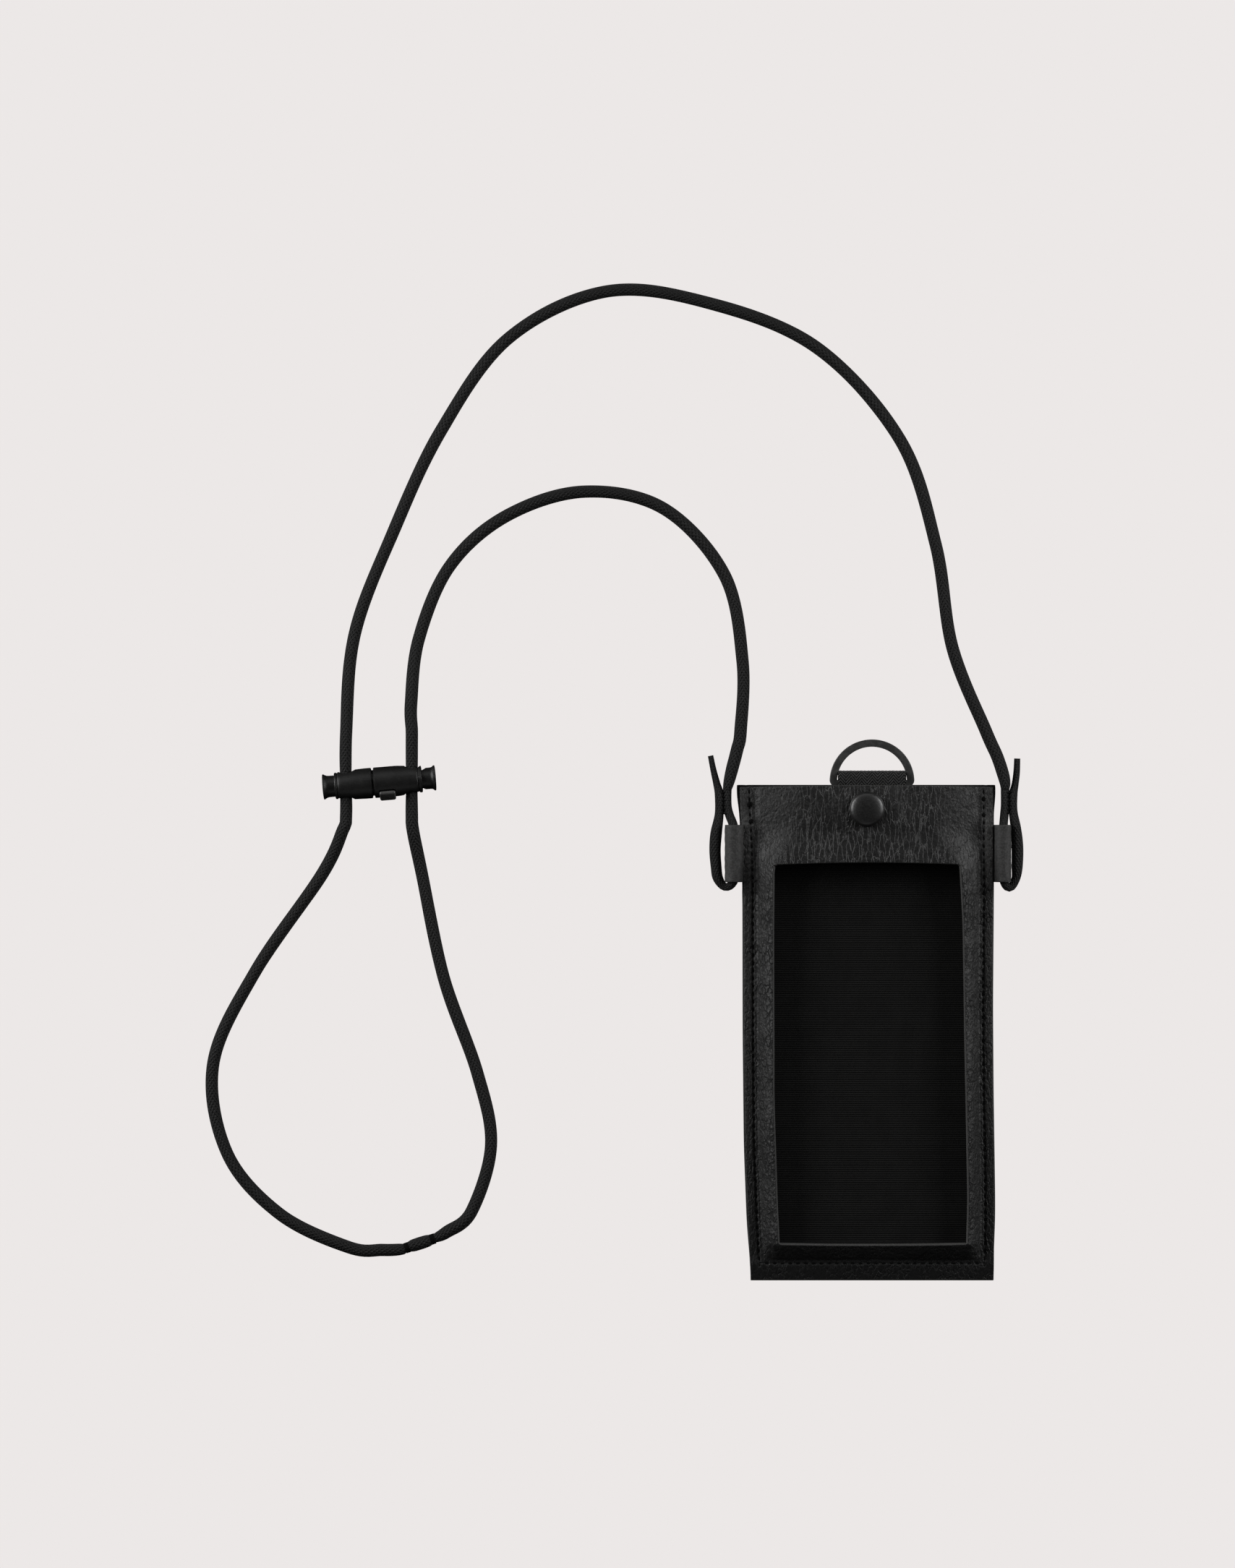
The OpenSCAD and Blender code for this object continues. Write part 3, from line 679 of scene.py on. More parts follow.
# wavelengths of the ribs, weaves and plies, in mm
RIB_PITCH = 0.66
CORD_WEAVE = 1.9
WALE_COLUMN, WALE_SLANT, WALE_PITCH = 1.9, 1.1, 1.1
STRAND_PITCH = 0.33
PLY_PITCH = 0.45
leather, cut_edge, tab_leather = leather_finish(), edge_finish(), tab_finish()
lining_cloth, webbing, thread = lining_finish(), webbing_finish(), thread_finish()
braid, coated_metal, snap_metal = cord_finish(), metal_finish(), snap_finish()
plastic, steel = plastic_finish("stopper_plastic", 0.007, 0.011), steel_finish()
# painted light: the latch pad takes a lighter copy of the stopper plastic, standing for the light its faces catch
latch_plastic_painted_light = plastic_finish("latch_plastic_painted_light", 0.050, 0.070)

# ---------------------------------------------------------------- camera, floor and lights
scene = bpy.context.scene
scene.view_settings.view_transform = "Standard"
scene.view_settings.look = "None"
VIEW_CENTRE = (-90.5, 89.8)
VIEW_HEIGHT = 563.9      # mm from the top to the bottom of the frame
CAMERA_UP = 2000.0
FRAMED_Z = 4             # height at which VIEW_HEIGHT fills the frame
SENSOR = 36
camera_data = bpy.data.cameras.new("camera")
camera_data.sensor_fit = "AUTO"
camera_data.sensor_width = SENSOR
camera_data.lens = SENSOR * (CAMERA_UP - FRAMED_Z) / VIEW_HEIGHT
camera_data.clip_end = 20
camera = bpy.data.objects.new("camera", camera_data)
camera.location = (VIEW_CENTRE[0] * MM, VIEW_CENTRE[1] * MM, CAMERA_UP * MM)
scene.collection.objects.link(camera)
scene.camera = camera


FLOOR_COLOR = (0.8388, 0.8070, 0.7991, 1)


def floor_finish():
    """An even pale grey, so that the floor and the backdrop show no edge."""
    f = Finish("paper_floor")
    glow = node(f.tree, "Emission", {"Color": FLOOR_COLOR, "Strength": 1.0})
    f.tree.links.new(glow.outputs[0], f.tree.nodes["Material Output"].inputs["Surface"])
    f.tree.nodes.remove(f.shader)
    f.material.cycles.emission_sampling = "NONE"
    return f.material


# the floor is a disc that runs on into a dome, both seen only by the camera
STAGE_R = 12000.0
FLOOR_Z = -0.02
stage = [(FLOOR_Z, 0.01)] + [(STAGE_R * math.sin(a) + FLOOR_Z, max(STAGE_R * math.cos(a), 0.01))
                             for a in np.linspace(0, math.pi / 2, 13)]
stage, stage_faces = lathe(stage, 48, cap=False)
stage = np.stack([VIEW_CENTRE[0] + stage[:, 1], VIEW_CENTRE[1] + stage[:, 2], stage[:, 0]], 1)
floor = make("floor", stage, stage_faces, [floor_finish()], sharp=0)
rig.stage(floor)
for ray in ("visible_diffuse", "visible_glossy", "visible_transmission", "visible_shadow"):
    setattr(floor, ray, False)


LIGHTS_AIM = Vector((-0.05, 0.06, 0))
for name, at, size, watts in (("softbox_left", (-1.25, 0.50, 0.45), (0.9, 0.8), 14.5),
                              ("softbox_right", (1.15, 0.50, 0.45), (0.9, 0.8), 11.5),
                              ("softbox_top", (-0.05, 1.35, 0.80), (1.4, 0.7), 2.0),
                              ("softbox_low", (-0.05, -1.25, 0.90), (1.2, 0.6), 1.0)):
    light = bpy.data.lights.new(name, "AREA")
    light.shape, light.energy = "RECTANGLE", watts
    light.size, light.size_y = size
    lamp = bpy.data.objects.new(name, light)
    lamp.location = at
    lamp.rotation_euler = (LIGHTS_AIM - Vector(at)).to_track_quat("-Z", "Y").to_euler()
    scene.collection.objects.link(lamp)

# the room is brightest a little above the horizon, and dark overhead and at the horizon itself
world = bpy.data.worlds.new("room")
world.use_nodes = True
sky = world.node_tree
direction = node(sky, "TexCoord").outputs["Generated"]
above = node(sky, "SeparateXYZ", {0: direction}).outputs[2]
rise, fall = (node(sky, "MapRange", {"Value": above, "From Min": low, "From Max": high,
              "To Min": at_low, "To Max": at_high}, interpolation_type="SMOOTHSTEP").outputs[0]
              for low, high, at_low, at_high in ((0.0, 0.2, 0.0, 0.17), (0.45, 0.8, 1.0, 0.0)))
fade = node(sky, "Math", {0: rise, 1: fall, 2: 0.02}, operation="MULTIPLY_ADD").outputs[0]
sky.links.new(fade, sky.nodes["Background"].inputs["Strength"])
scene.world = world

# ---------------------------------------------------------------- cords
# Routes: x, y, z of the centre and the radius there, in mm, as in part.scad
CORD_R = 2.25
SEWN_R = 1.4
PRESSED_R = 1.6
LIE_Z = 2.3
HOLE_Z = 5.5
TAB_Z = 3.6


def full(points):
    """Route points as x, y, z and radius; without them the cord lies down and is whole."""
    return [[*p, *(LIE_Z, CORD_R)[len(p) - 2:]] for p in points]


left_end_route = [
    [-57, 100, 1.4, 1], [-56, 95, 1.4, 1.1], [-54.8, 90, 1.6, 1.3], [-53.9, 86, 2, SEWN_R],
    [-53.9, 79, 2, SEWN_R], [-55, 72, LIE_Z, 2.1], [-55.4, 66, LIE_Z, 2.1], [-55, 60, LIE_Z, 2],
    [-54.4, 56, LIE_Z, 1.9], [-52.3, 53, 2.5, 1.5], [-50, 53.2, 3.2, 1.5], [-48.7, 56, TAB_Z, 2],
    [-48.6, 61, TAB_Z, 2.2], [-48.6, 69, TAB_Z, 2.2], [-48.8, 74.6, 3.3, 1.7],
    [-50.2, 78.6, 2.2, SEWN_R], [-51, 82, 2, SEWN_R], [-51, 87.8, 2, SEWN_R]]
left_upper_route = full([
    [-51, 88, LIE_Z, 1.6], [-50.4, 90.5, LIE_Z, 2], [-49.3, 95], [-47.5, 102],
    [-46.2, 109], [-45.5, 134], [-52, 165], [-74, 189],
    [-103, 195], [-131, 186], [-151, 168], [-162, 142],
    [-164.7, 119, 4.4], [-164.4, 109, 5.45], [-164.4, 104, HOLE_Z]])
left_lower_route = full([
    [-164.4, 79, HOLE_Z], [-164, 73, 5.1], [-161, 58], [-153, 20], [-141, -14],
    [-136, -40], [-143, -64], [-152, -71.5], [-156.8, -73.9, LIE_Z, 1.5]])
splice_route = [[-157, -74, LIE_Z, 1.5], [-159, -74.7, LIE_Z, 2.2], [-164, -76.3, LIE_Z, 2.2],
                [-166, -77, LIE_Z, 1.5]]
right_lower_route = full([
    [-166.2, -77.1, LIE_Z, 1.5], [-168.5, -77.7, LIE_Z, 2.1], [-175, -77.9],
    [-187, -77], [-212, -65], [-231, -43], [-236, -11],
    [-221, 22], [-197, 57], [-189.3, 73, 5.2], [-188, 79, HOLE_Z]])
right_upper_route = full([
    [-188, 108, HOLE_Z], [-185, 144], [-171, 181], [-154, 217],
    [-130, 250], [-95, 267], [-58, 263], [-19, 247], [11, 214],
    [24, 176], [30, 139], [42, 109], [46, 100], [48.2, 93.5],
    [49, 90, LIE_Z, 2], [49, 88, LIE_Z, 1.6]])
right_end_route = [
    [53.4, 99, 1.4, 1.1], [53.2, 94, 1.4, 1.2], [52.6, 89.5, 1.6, 1.3], [51.9, 86, 2, SEWN_R],
    [51.9, 80, 2, SEWN_R], [52.9, 73.5, LIE_Z, 1.9], [53.4, 67, LIE_Z, 2.1],
    [53.3, 60, LIE_Z, 2], [52.9, 56, LIE_Z, 1.6], [51.2, 52.8, 2.5, 1.5], [49.4, 53, 3.2, 1.5],
    [48.3, 56, TAB_Z, 1.7], [48.2, 60, TAB_Z, 1.85], [48.2, 69, TAB_Z, 1.85],
    [48.3, 74.6, 3.4, 1.6], [48.7, 78.5, 2.2, SEWN_R], [49, 82, 2, SEWN_R], [49, 87.8, 2, SEWN_R]]


GRIP_Y, GRIP_LONG, GRIP_DEEP = 90, 6, 0.2       # where the plungers press the cords thinner
WOBBLE = 0.02            # share of the radius by which a cord's thickness varies
FLOOR_GAP = 0.02


def tube(name, route, step, sides, gripped=False):
    """A braided cord along a route. Gives the piece, the line of its middle and its length."""
    line, along = smooth_line(route, step)
    if gripped:
        inside = (line[:, 0] < -150) * (line[:, 2] > 3)
        line[:, 3] -= GRIP_DEEP * np.exp(-((line[:, 1] - GRIP_Y) / GRIP_LONG) ** 2) * inside
    line[:, 3] *= 1 + WOBBLE * np.sin(along / 7.3 + line[0, 0]) * np.sin(along / 17.7)
    line[:, 2] = np.maximum(line[:, 2], line[:, 3] + FLOOR_GAP)
    pts, faces, uv = sweep(line, along, circle(sides))
    girth = uv[:, 1] / (2 * math.sin(math.pi / sides) * sides) * 2 * math.pi * CORD_R
    uv = np.stack([uv[:, 0], np.round(girth, 6)], 1)
    is_end = [int(len(f) > 4) for f in faces]
    obj = make(name, pts, faces, [braid, cut_edge], which=is_end, uv=uv, sharp=60)
    return obj, line, along[-1]


def cord(name, route):
    obj, line, length = tube(name, route, 1.4, 18, gripped=True)
    path = [[float(c) * MM for c in p[:3]] for p in line]
    return obj, dict(exit=tuple(path[0]), length=round(length * MM, 4), diameter=0.0045,
                     far_end="object", stiffness="limp", lay="loose", path=path)


join = [-164.4, 91.5, HOLE_Z, CORD_R]
upper, upper_facts = cord("left_cord_above", left_upper_route + [join])
lower, lower_facts = cord("left_cord_below", [join] + left_lower_route)
right, right_facts = cord("right_cord", right_lower_route + right_upper_route)
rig.blend(upper, "pouch", "right_strand", (-0.105, 0.195, 0), (-0.162, 0.106, 0))
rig.blend(lower, "pouch", "right_strand", (-0.142, -0.020, 0), (-0.164, 0.079, 0))
stand_for(upper, "cord", "left_cord_upper")
stand_for(lower, "cord", "left_cord_lower", "left_cord_grip")
place(right, "pouch", "cord", "right_cord_lower", "right_cord_upper")


def sewn_loop(name, route, tail_x, node_name):
    """A sewn end: its two strands swell until they touch, and it runs on into the cord above."""
    route = [[x, y, z, PRESSED_R if r == SEWN_R else r] for x, y, z, r in route]
    obj, _, _ = tube(name, route + [[tail_x, 90, 2.2, 1.55]], 0.9, 16)
    return place(obj, "pouch", "cord", node_name)


left_end = sewn_loop("left_sewn_loop", left_end_route, -50.5, "left_end_loop")
right_end = sewn_loop("right_sewn_loop", right_end_route, 49.0, "right_end_loop")
splice = place(tube("splice_sleeve", splice_route, 0.5, 18)[0], "pouch", "cord", "cord_splice")


def splice_whipping():
    """Four turns of thread round each end of the splice."""
    axis = unit((-9, -3, 0))
    p = unit(np.cross(axis, [0, 0, 1.0]))
    q = np.cross(axis, p)
    a = np.linspace(0, 4 * 2 * math.pi, 4 * 28 + 1)
    coil = (np.linspace(-0.8, 0.8, len(a))[:, None] * axis
            + 1.72 * (np.cos(a)[:, None] * p + np.sin(a)[:, None] * q))
    soup = Soup()
    for centre in ((-157, -74, LIE_Z), (-166.1, -77.05, LIE_Z)):
        line = np.concatenate([centre + coil, np.full((len(a), 1), 0.24)], 1)
        soup.add(*sweep(line, a * 1.72, circle(8)))
    return place(soup.make("splice_thread", thread), "pouch", "thread", "splice_whipping")


splice_ends = splice_whipping()
STITCH_L = 1.9
STITCH_DIP = 0.16


def stitch(centre, along, up, length=STITCH_L, wide=0.36, high=0.24):
    """One lockstitch: a short round-ended bar of thread that dips at both ends."""
    along, up = unit(along), unit(up)
    side = np.cross(up, along)
    pts, n, m = [], 9, 8
    for i in range(n):
        t = -1 + 2 * i / (n - 1)
        r = max(max(0.0, 1 - t ** 4) ** 0.5, 0.1)
        c = np.asarray(centre, float) + along * t * length / 2 - up * STITCH_DIP * t * t
        for k in range(m):
            a = 2 * math.pi * k / m
            pts.append(c + side * math.cos(a) * wide * r + up * math.sin(a) * high * r)
    return pts, skin(n, m) + lids(n, m)


def bound_end(name, route, node_name):
    """The thread that sews a cord end to itself: slanted stitches across both strands."""
    outer, inner = route[3], route[-2]
    middle, apart = (outer[0] + inner[0]) / 2, abs(outer[0] - inner[0])
    soup = Soup()
    for k, y in enumerate(np.arange(79.2, 87.0, 1.5)):
        slant = 0.25 if k % 2 else -0.25
        soup.add(*stitch((middle, y, 3.28), (1, slant, 0), (0, 0, 1), apart + 0.6, 0.26))
        soup.add(*stitch((middle, y + 0.4, 0.72), (1, -slant, 0), (0, 0, -1), apart + 0.6, 0.26))
    return place(soup.make(name, thread), "pouch", "thread", node_name)


left_bind = bound_end("left_end_binding", left_end_route, "left_end_stitches")
right_bind = bound_end("right_end_binding", right_end_route, "right_end_stitches")
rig.cord(upper, with_pieces=[left_end, left_bind], **upper_facts)
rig.cord(lower, with_pieces=[splice, splice_ends], **lower_facts)
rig.cord(right, with_pieces=[right_end, right_bind], **right_facts)

# ---------------------------------------------------------------- leather: one folded sheet
LEATHER_T = 1.3
FLANGE_TOP = 3.1
FOLD_R = 0.8
FOLD_Y = -88.2
CROWN = 7.4
BAND_DIP = 1.8
STITCH_IN = 3.4
SLOPE_FROM = 4.4
ROW_Y = -82.7
WINDOW_LOW = -75.7
WINDOW_TOP = 61.1
MOUTH_Y = 88.7
RIM = 0.3
SNAP = (-1.0, 80.8)
TAB_ROOT = 1.05
STITCH_PITCH = 2.8
FIRST_STITCH_Y = 87.0
ROW_IN = STITCH_IN - RIM                # from the outline of the flat face to the seam
STRIP_SLACK = 1.7


def outline(ys, xs):
    """A smooth line x(y) through given points."""
    fine = np.linspace(-110, 110, 441)
    x = np.interp(fine, ys, xs)
    kernel = np.hanning(41)
    x = np.convolve(np.pad(x, 20, "edge"), kernel / kernel.sum(), "valid")
    return lambda y: np.interp(y, fine, x)


left_shape = outline([-88, -72, -40, 0, 50, 88], [-42.2, -43.1, -44.3, -44.7, -44.8, -46.3])
right_edge = outline([-88, -60, -20, 10, 50, 88], [44.6, 44.8, 44.2, 44.0, 44.3, 44.3])
window_left = outline([-76, -60, -40, -20, 60], [-32.9, -33.7, -34.3, -34.9, -35.0])
window_right = outline([-76, -60, -40, 0, 40, 62], [35.3, 35.8, 35.4, 34.6, 34.0, 32.6])


def left_edge(y):
    return left_shape(y) + 0.1 * ease((y - 50) / 3) * ease((79 - y) / 3)


row_low, row_high = left_edge(ROW_Y) + ROW_IN, right_edge(ROW_Y) - ROW_IN
row_count = int((row_high - row_low) / STITCH_PITCH)
row_start = (row_low + row_high) / 2 - (row_count - 1) / 2 * STITCH_PITCH


def swell(t):
    """The wall's rise from seam to window: steep first, and still climbing a little at the edge."""
    t = np.clip(t, 0, 1)
    reach = math.pi / 2 * 0.82
    return np.sin(reach * t) / math.sin(reach) * ease(t * 5 + 0.3)


def pulse(v, start):
    """1 at each stitch of a seam that starts at start, 0.2 between two stitches."""
    return 0.60 + 0.40 * np.cos(2 * math.pi * (v - start) / STITCH_PITCH)


def seam_depth(x, y):
    """How far a point lies in the groove of the seam, deepest where each stitch is: 0 to 1."""
    d = np.minimum(x - left_edge(y), right_edge(y) - x)
    side = pulse(y, FIRST_STITCH_Y) * (y > ROW_Y - 1) * np.exp(-((d - ROW_IN) / 0.44) ** 2)
    row = pulse(x, row_start) * (d > STITCH_IN - 0.4) * np.exp(-((y - ROW_Y) / 0.45) ** 2)
    return np.maximum(side, row)


def front_height(x, y):
    """Height of the front leather's outer face over the point x, y."""
    le, re = left_edge(y), right_edge(y)
    d = np.minimum(x - le, re - x)
    strip = np.where(x < 0, window_left(y) - le, re - window_right(y))
    strip = lerp(strip, 22, ease((y - 58) / 18))
    across = swell((d - SLOPE_FROM) / (strip - SLOPE_FROM))
    foot = np.clip((y + 81.8) / 6.2, 0, 1)
    up = lerp(swell(foot), foot * ease(foot * 4 + 0.2), 0.75)
    body = across * up
    dip = BAND_DIP * ease((y - 60) / 14)
    still = ease((np.hypot(x - SNAP[0], y - SNAP[1]) - 7) / 8)
    wave = (0.25 * np.sin(x / 6.3 + y / 31) * np.sin(y / 13.7 + 1) + 0.16 * np.sin(y / 5.6 + x / 9)
            + 0.12 * np.sin(x / 4.1 - y / 11 + 2) - 0.20)
    slack = STRIP_SLACK * ease((56 - y) / 26)
    z = FLANGE_TOP + (CROWN - dip - slack) * body + wave * body * still
    tab = ease((y - 49) / 6) * ease((80.5 - y) / 6) * (1 - ease((d - 3) / 5))
    z = z + TAB_ROOT * tab
    z = z - 1.5 * np.clip((-83.0 - y) / 5.2, 0, 1) ** 1.25
    return z - 0.55 * seam_depth(x, y)


# columns of the sheet: fixed steps from each side, then shared out to the window and across it
FIXED = np.array([0, .3, .7, 1.2, 1.7, 2.2, 2.5, 2.7, 2.9, 3.1, 3.3, 3.5, 3.7, 4.0, 4.4])
RISE = np.linspace(0, 1, 15)[1:]
ACROSS = np.linspace(0, 1, 81)[1:]
low_rows = np.array([FOLD_Y, -87.8, -87.4, -87, -86.4, -85.8, -85.2, -84.6, -84, -83.6, -83.3,
                     -83.1, -82.9, -82.7, -82.5, -82.3, -82.1, -81.8, -81.4])
rows = np.concatenate([low_rows, np.linspace(-81.4, WINDOW_LOW, 15)[1:],
                       np.linspace(WINDOW_LOW, WINDOW_TOP, 235)[1:],
                       np.linspace(WINDOW_TOP, MOUTH_Y, 50)[1:]])
low_row = len(low_rows) + 13
top_row = low_row + 234


def columns(y):
    le, re, wr = left_edge(y), right_edge(y), window_right(y)
    left = le + FIXED
    wl = window_left(y)
    left_rise = left[-1] + RISE * (wl - left[-1])
    middle = wl + ACROSS * (wr - wl)
    right = re - FIXED
    right_rise = right[-1] - RISE[:-1][::-1] * (right[-1] - wr)
    return np.concatenate([left, left_rise, middle, right_rise, right[::-1]])


first_window = len(FIXED) + len(RISE) - 1
last_window = first_window + len(ACROSS)
X = np.array([columns(y) for y in rows])
Y = np.repeat(rows[:, None], X.shape[1], 1)
# both window edges and the mouth are bowed
Y = Y + sum((rise * np.clip(1 - (X / half) ** 2, 0, 1) - drop) * np.exp(-np.abs(Y - at) / fades)
            for rise, half, drop, at, fades in ((-0.45, 34.5, 0, WINDOW_LOW, 4),
                                                (0.8, 34, 0, WINDOW_TOP, 6),
                                                (0.6, 44, 0.25, MOUTH_Y, 6)))


def round_corner(x, y, cx, cy, sx, sy, r):
    """How the sheet moves to round a corner at (cx, cy); the window lies along sx, sy."""
    a, b = (x - cx) * sx, (y - cy) * sy
    s = np.where((b <= 1e-6) & (a > 0), a, np.where((a <= 1e-6) & (b > 0), -b, 0.0))
    s = np.clip(s, -r, r)
    angle = math.radians(45) * (1 - s / r)
    ax, ay = r - r * np.sin(angle), r - r * np.cos(angle)
    lx, ly = np.maximum(s, 0), np.maximum(-s, 0)
    away = np.maximum(np.maximum(-a, 0), np.maximum(-b, 0)) + np.maximum(np.maximum(a, b) - r, 0)
    near = np.exp(-(away / 1.6) ** 2)
    return (ax - lx) * near * sx, (ay - ly) * near * sy


for wall, cy, sx, sy, r in ((window_left, WINDOW_LOW, 1, 1, 1.2),
                            (window_right, WINDOW_LOW, -1, 1, 1.2),
                            (window_left, WINDOW_TOP, 1, -1, 0.9),
                            (window_right, WINDOW_TOP, -1, -1, 0.9)):
    dx, dy = round_corner(X, Y, wall(cy), cy, sx, sy, r)
    X, Y = X + dx, Y + dy
Z = front_height(X, Y)

# the fold and the back, as more rows of the same sheet
front = np.stack([X, Y, Z], -1)
spread = (X[0] - X[0, 0]) / (X[0, -1] - X[0, 0])
fold = [np.stack([X[0], np.full_like(X[0], FOLD_Y - FOLD_R * math.sin(a)),
                  np.full_like(X[0], FOLD_R + FOLD_R * math.cos(a))], -1)
        for a in np.linspace(0, math.pi, 13)[1:]]
back = []
for y in np.linspace(FOLD_Y, MOUTH_Y + 0.5, 200)[1:]:
    out = 0.45 * ease((y + 84) / 20) + 0.55 * ease((y - 78) / 9)
    x = lerp(left_edge(y) - out, right_edge(y) + out, spread)
    # the back lies flat, but is dented round the rivet and pulled in along the seams
    z = 0.5 * (1 - ease((np.hypot(x - SNAP[0], y - SNAP[1]) - 4.3) / 1.3))
    d = np.minimum(x - x[0], x[-1] - x)
    pucker = 0.65 + 0.35 * np.cos(2 * math.pi * (y - FIRST_STITCH_Y) / STITCH_PITCH)
    z += 0.28 * pucker * np.exp(-((d - ROW_IN) / 0.45) ** 2) * (y > ROW_Y - 1)
    z += 0.28 * np.exp(-((y - ROW_Y) / 0.5) ** 2) * (d > STITCH_IN - 0.4)
    back.append(np.stack([x, np.full_like(x, y), z], -1))
sheet = np.concatenate([front[::-1], np.array(fold), np.array(back)])
R, C = sheet.shape[:2]
front_rows = len(rows)
outer = sheet.reshape(-1, 3)

# the sheet's cells, without the window; the owner is 0 for the body, 1 or 2 for half the band
cells, owner = [], []
mid_column = int(np.argmin(np.abs(columns(80.0) - SNAP[0])))
for i in range(R - 1):
    row = front_rows - 1 - i          # the cell lies between rows[row - 1] and rows[row]
    for j in range(C - 1):
        inside = first_window <= j < last_window
        if inside and low_row < row <= top_row:
            continue
        cells.append((i * C + j, (i + 1) * C + j, (i + 1) * C + j + 1, i * C + j + 1))
        owner.append((1 if j < mid_column else 2) if inside and row > top_row else 0)
cells, owner = np.array(cells), np.array(owner)

quad = outer[cells]
face_normal = np.cross(quad[:, 2] - quad[:, 0], quad[:, 3] - quad[:, 1])
normal = np.zeros_like(outer)
for k in range(4):
    np.add.at(normal, cells[:, k], face_normal)
normal = unit(normal)

# the boundary, where the cut edge goes round from the outer to the inner face
edges = {}
for f, cell in enumerate(cells.tolist()):
    for a, b in zip(cell, cell[1:] + cell[:1]):
        if (b, a) in edges:
            del edges[(b, a)]
        else:
            edges[(a, b)] = f
outward = np.zeros_like(outer)
for (a, b), f in edges.items():
    d = unit(outer[b] - outer[a])
    side = np.cross(d, unit(normal[a] + normal[b]))
    outward[a] += side
    outward[b] += side
rim_at = np.where(np.linalg.norm(outward, axis=1) > 1e-6)[0]
outward[rim_at] = unit(outward[rim_at])

# the cut edge: how far out, how deep, and which way it faces in degrees from the outer face
EDGE = [(.16, .05, 35), (.27, .20, 65), (.30, .45, 88), (.30, .85, 92), (.27, 1.10, 115),
        (.16, 1.25, 145)]
count = len(outer)
depth = np.full(count, LEATHER_T)
on_back = np.arange(count) >= (front_rows + len(fold)) * C
in_fold = ~on_back & (outer[:, 1] < -83)
depth[in_fold] = np.clip(outer[in_fold, 2] * 0.45, 0.35, LEATHER_T)
inner = outer - depth[:, None] * normal
inner[on_back, 2] = LEATHER_T         # where the back is dented, the dent doesn't go through
points = [outer, inner]
normals = [normal, -normal]
slot_of = {int(v): k for k, v in enumerate(rim_at)}
for out, deep, angle in EDGE:
    a = math.radians(angle)
    sunk = (deep * depth[rim_at] / LEATHER_T)[:, None]
    points.append(outer[rim_at] + out * outward[rim_at] - sunk * normal[rim_at])
    normals.append(math.cos(a) * normal[rim_at] + math.sin(a) * outward[rim_at])
points, normals = np.concatenate(points), np.concatenate(normals)
faces = [list(c) for c in cells.tolist()] + [[v + count for v in c[::-1]] for c in cells.tolist()]
belongs = list(owner) + list(owner)
look = [0] * (2 * len(cells))
for (a, b), f in edges.items():
    ring_a, ring_b = ([v] + [2 * count + k * len(rim_at) + slot_of[v] for k in range(len(EDGE))]
                      + [v + count] for v in (a, b))
    for k in range(len(EDGE) + 1):
        faces.append([ring_b[k], ring_a[k], ring_a[k + 1], ring_b[k + 1]])
        belongs.append(owner[f])
        look.append(0 if k == 0 else 1)
belongs, look = np.array(belongs), np.array(look)
leather_pieces = []
for who, name in enumerate(("leather_body", "mouth_band_left", "mouth_band_right")):
    chosen = np.where(belongs == who)[0]
    used = np.unique(np.array([faces[k] for k in chosen]))
    index = {int(v): k for k, v in enumerate(used)}
    piece = make(name, points[used], [[index[v] for v in faces[k]] for k in chosen],
                 [leather, cut_edge], which=look[chosen], normals=normals[used])
    px, py = points[used, 0], points[used, 1]
    front_face = (used < front_rows * C) * 1.0
    inset = np.minimum(px - left_edge(py), right_edge(py) - px)
    at_row = np.exp(-((py - ROW_Y) / 1.2) ** 2)
    by_tab = ease((py - 49) / 6) * ease((80.5 - py) / 6)
    # painted light on the flange: it is made lighter beside the tabs, against the shadow the tabs cast, and lighter
    # still right at the cut edge
    painted_light = 0.60 + 0.35 * by_tab + 0.5 * np.exp(-(inset / 0.5) ** 2)
    # painted highlight: a light line just below the bottom stitch row, where the groove's wall would catch the lamps
    painted_row_highlight = 0.6 * np.exp(-((py - ROW_Y + 0.45) / 0.35) ** 2) * (inset > STITCH_IN - 0.6)
    # painted shade: the seam value darkens the grooves of the side seams, and only a quarter as much along the bottom
    # row
    values = {"seam": seam_depth(px, py) * (1 - 0.75 * at_row),
              # painted light and shade: the flange lightening fades towards the bottom, where less lamp light falls,
              # and takes in the painted row highlight
              "flange": (1 - ease((inset - 2.2) / 0.8)) * ease((py + 90) / 100) * painted_light
              + painted_row_highlight}
    for label, value in values.items():
        value = (value * front_face).astype(np.float32)
        piece.data.attributes.new(label, "FLOAT", "POINT").data.foreach_set("value", value)
    leather_pieces.append(piece)
body_leather, band_left, band_right = leather_pieces
place(body_leather, "pouch", "leather", "front_panel", "back_panel")
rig.blend(band_left, "pouch", "snap_flap", (-0.0343, 0.08, 0.009), (-0.008, 0.08, 0.009))
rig.blend(band_right, "pouch", "snap_flap", (0.0323, 0.08, 0.009), (0.008, 0.08, 0.009))
for piece in (band_left, band_right):
    stand_for(piece, "leather", "top_band")


# ---------------------------------------------------------------- lining
RIB_HIGH = 0.06
PAD_X, PAD_HALF, PAD_Y, PAD_HIGH = 1, 12.9, 71.5, 1.6     # the patch over the webbing's sewn end
LINING_LOW, LINING_HIGH = 1.32, 1.74


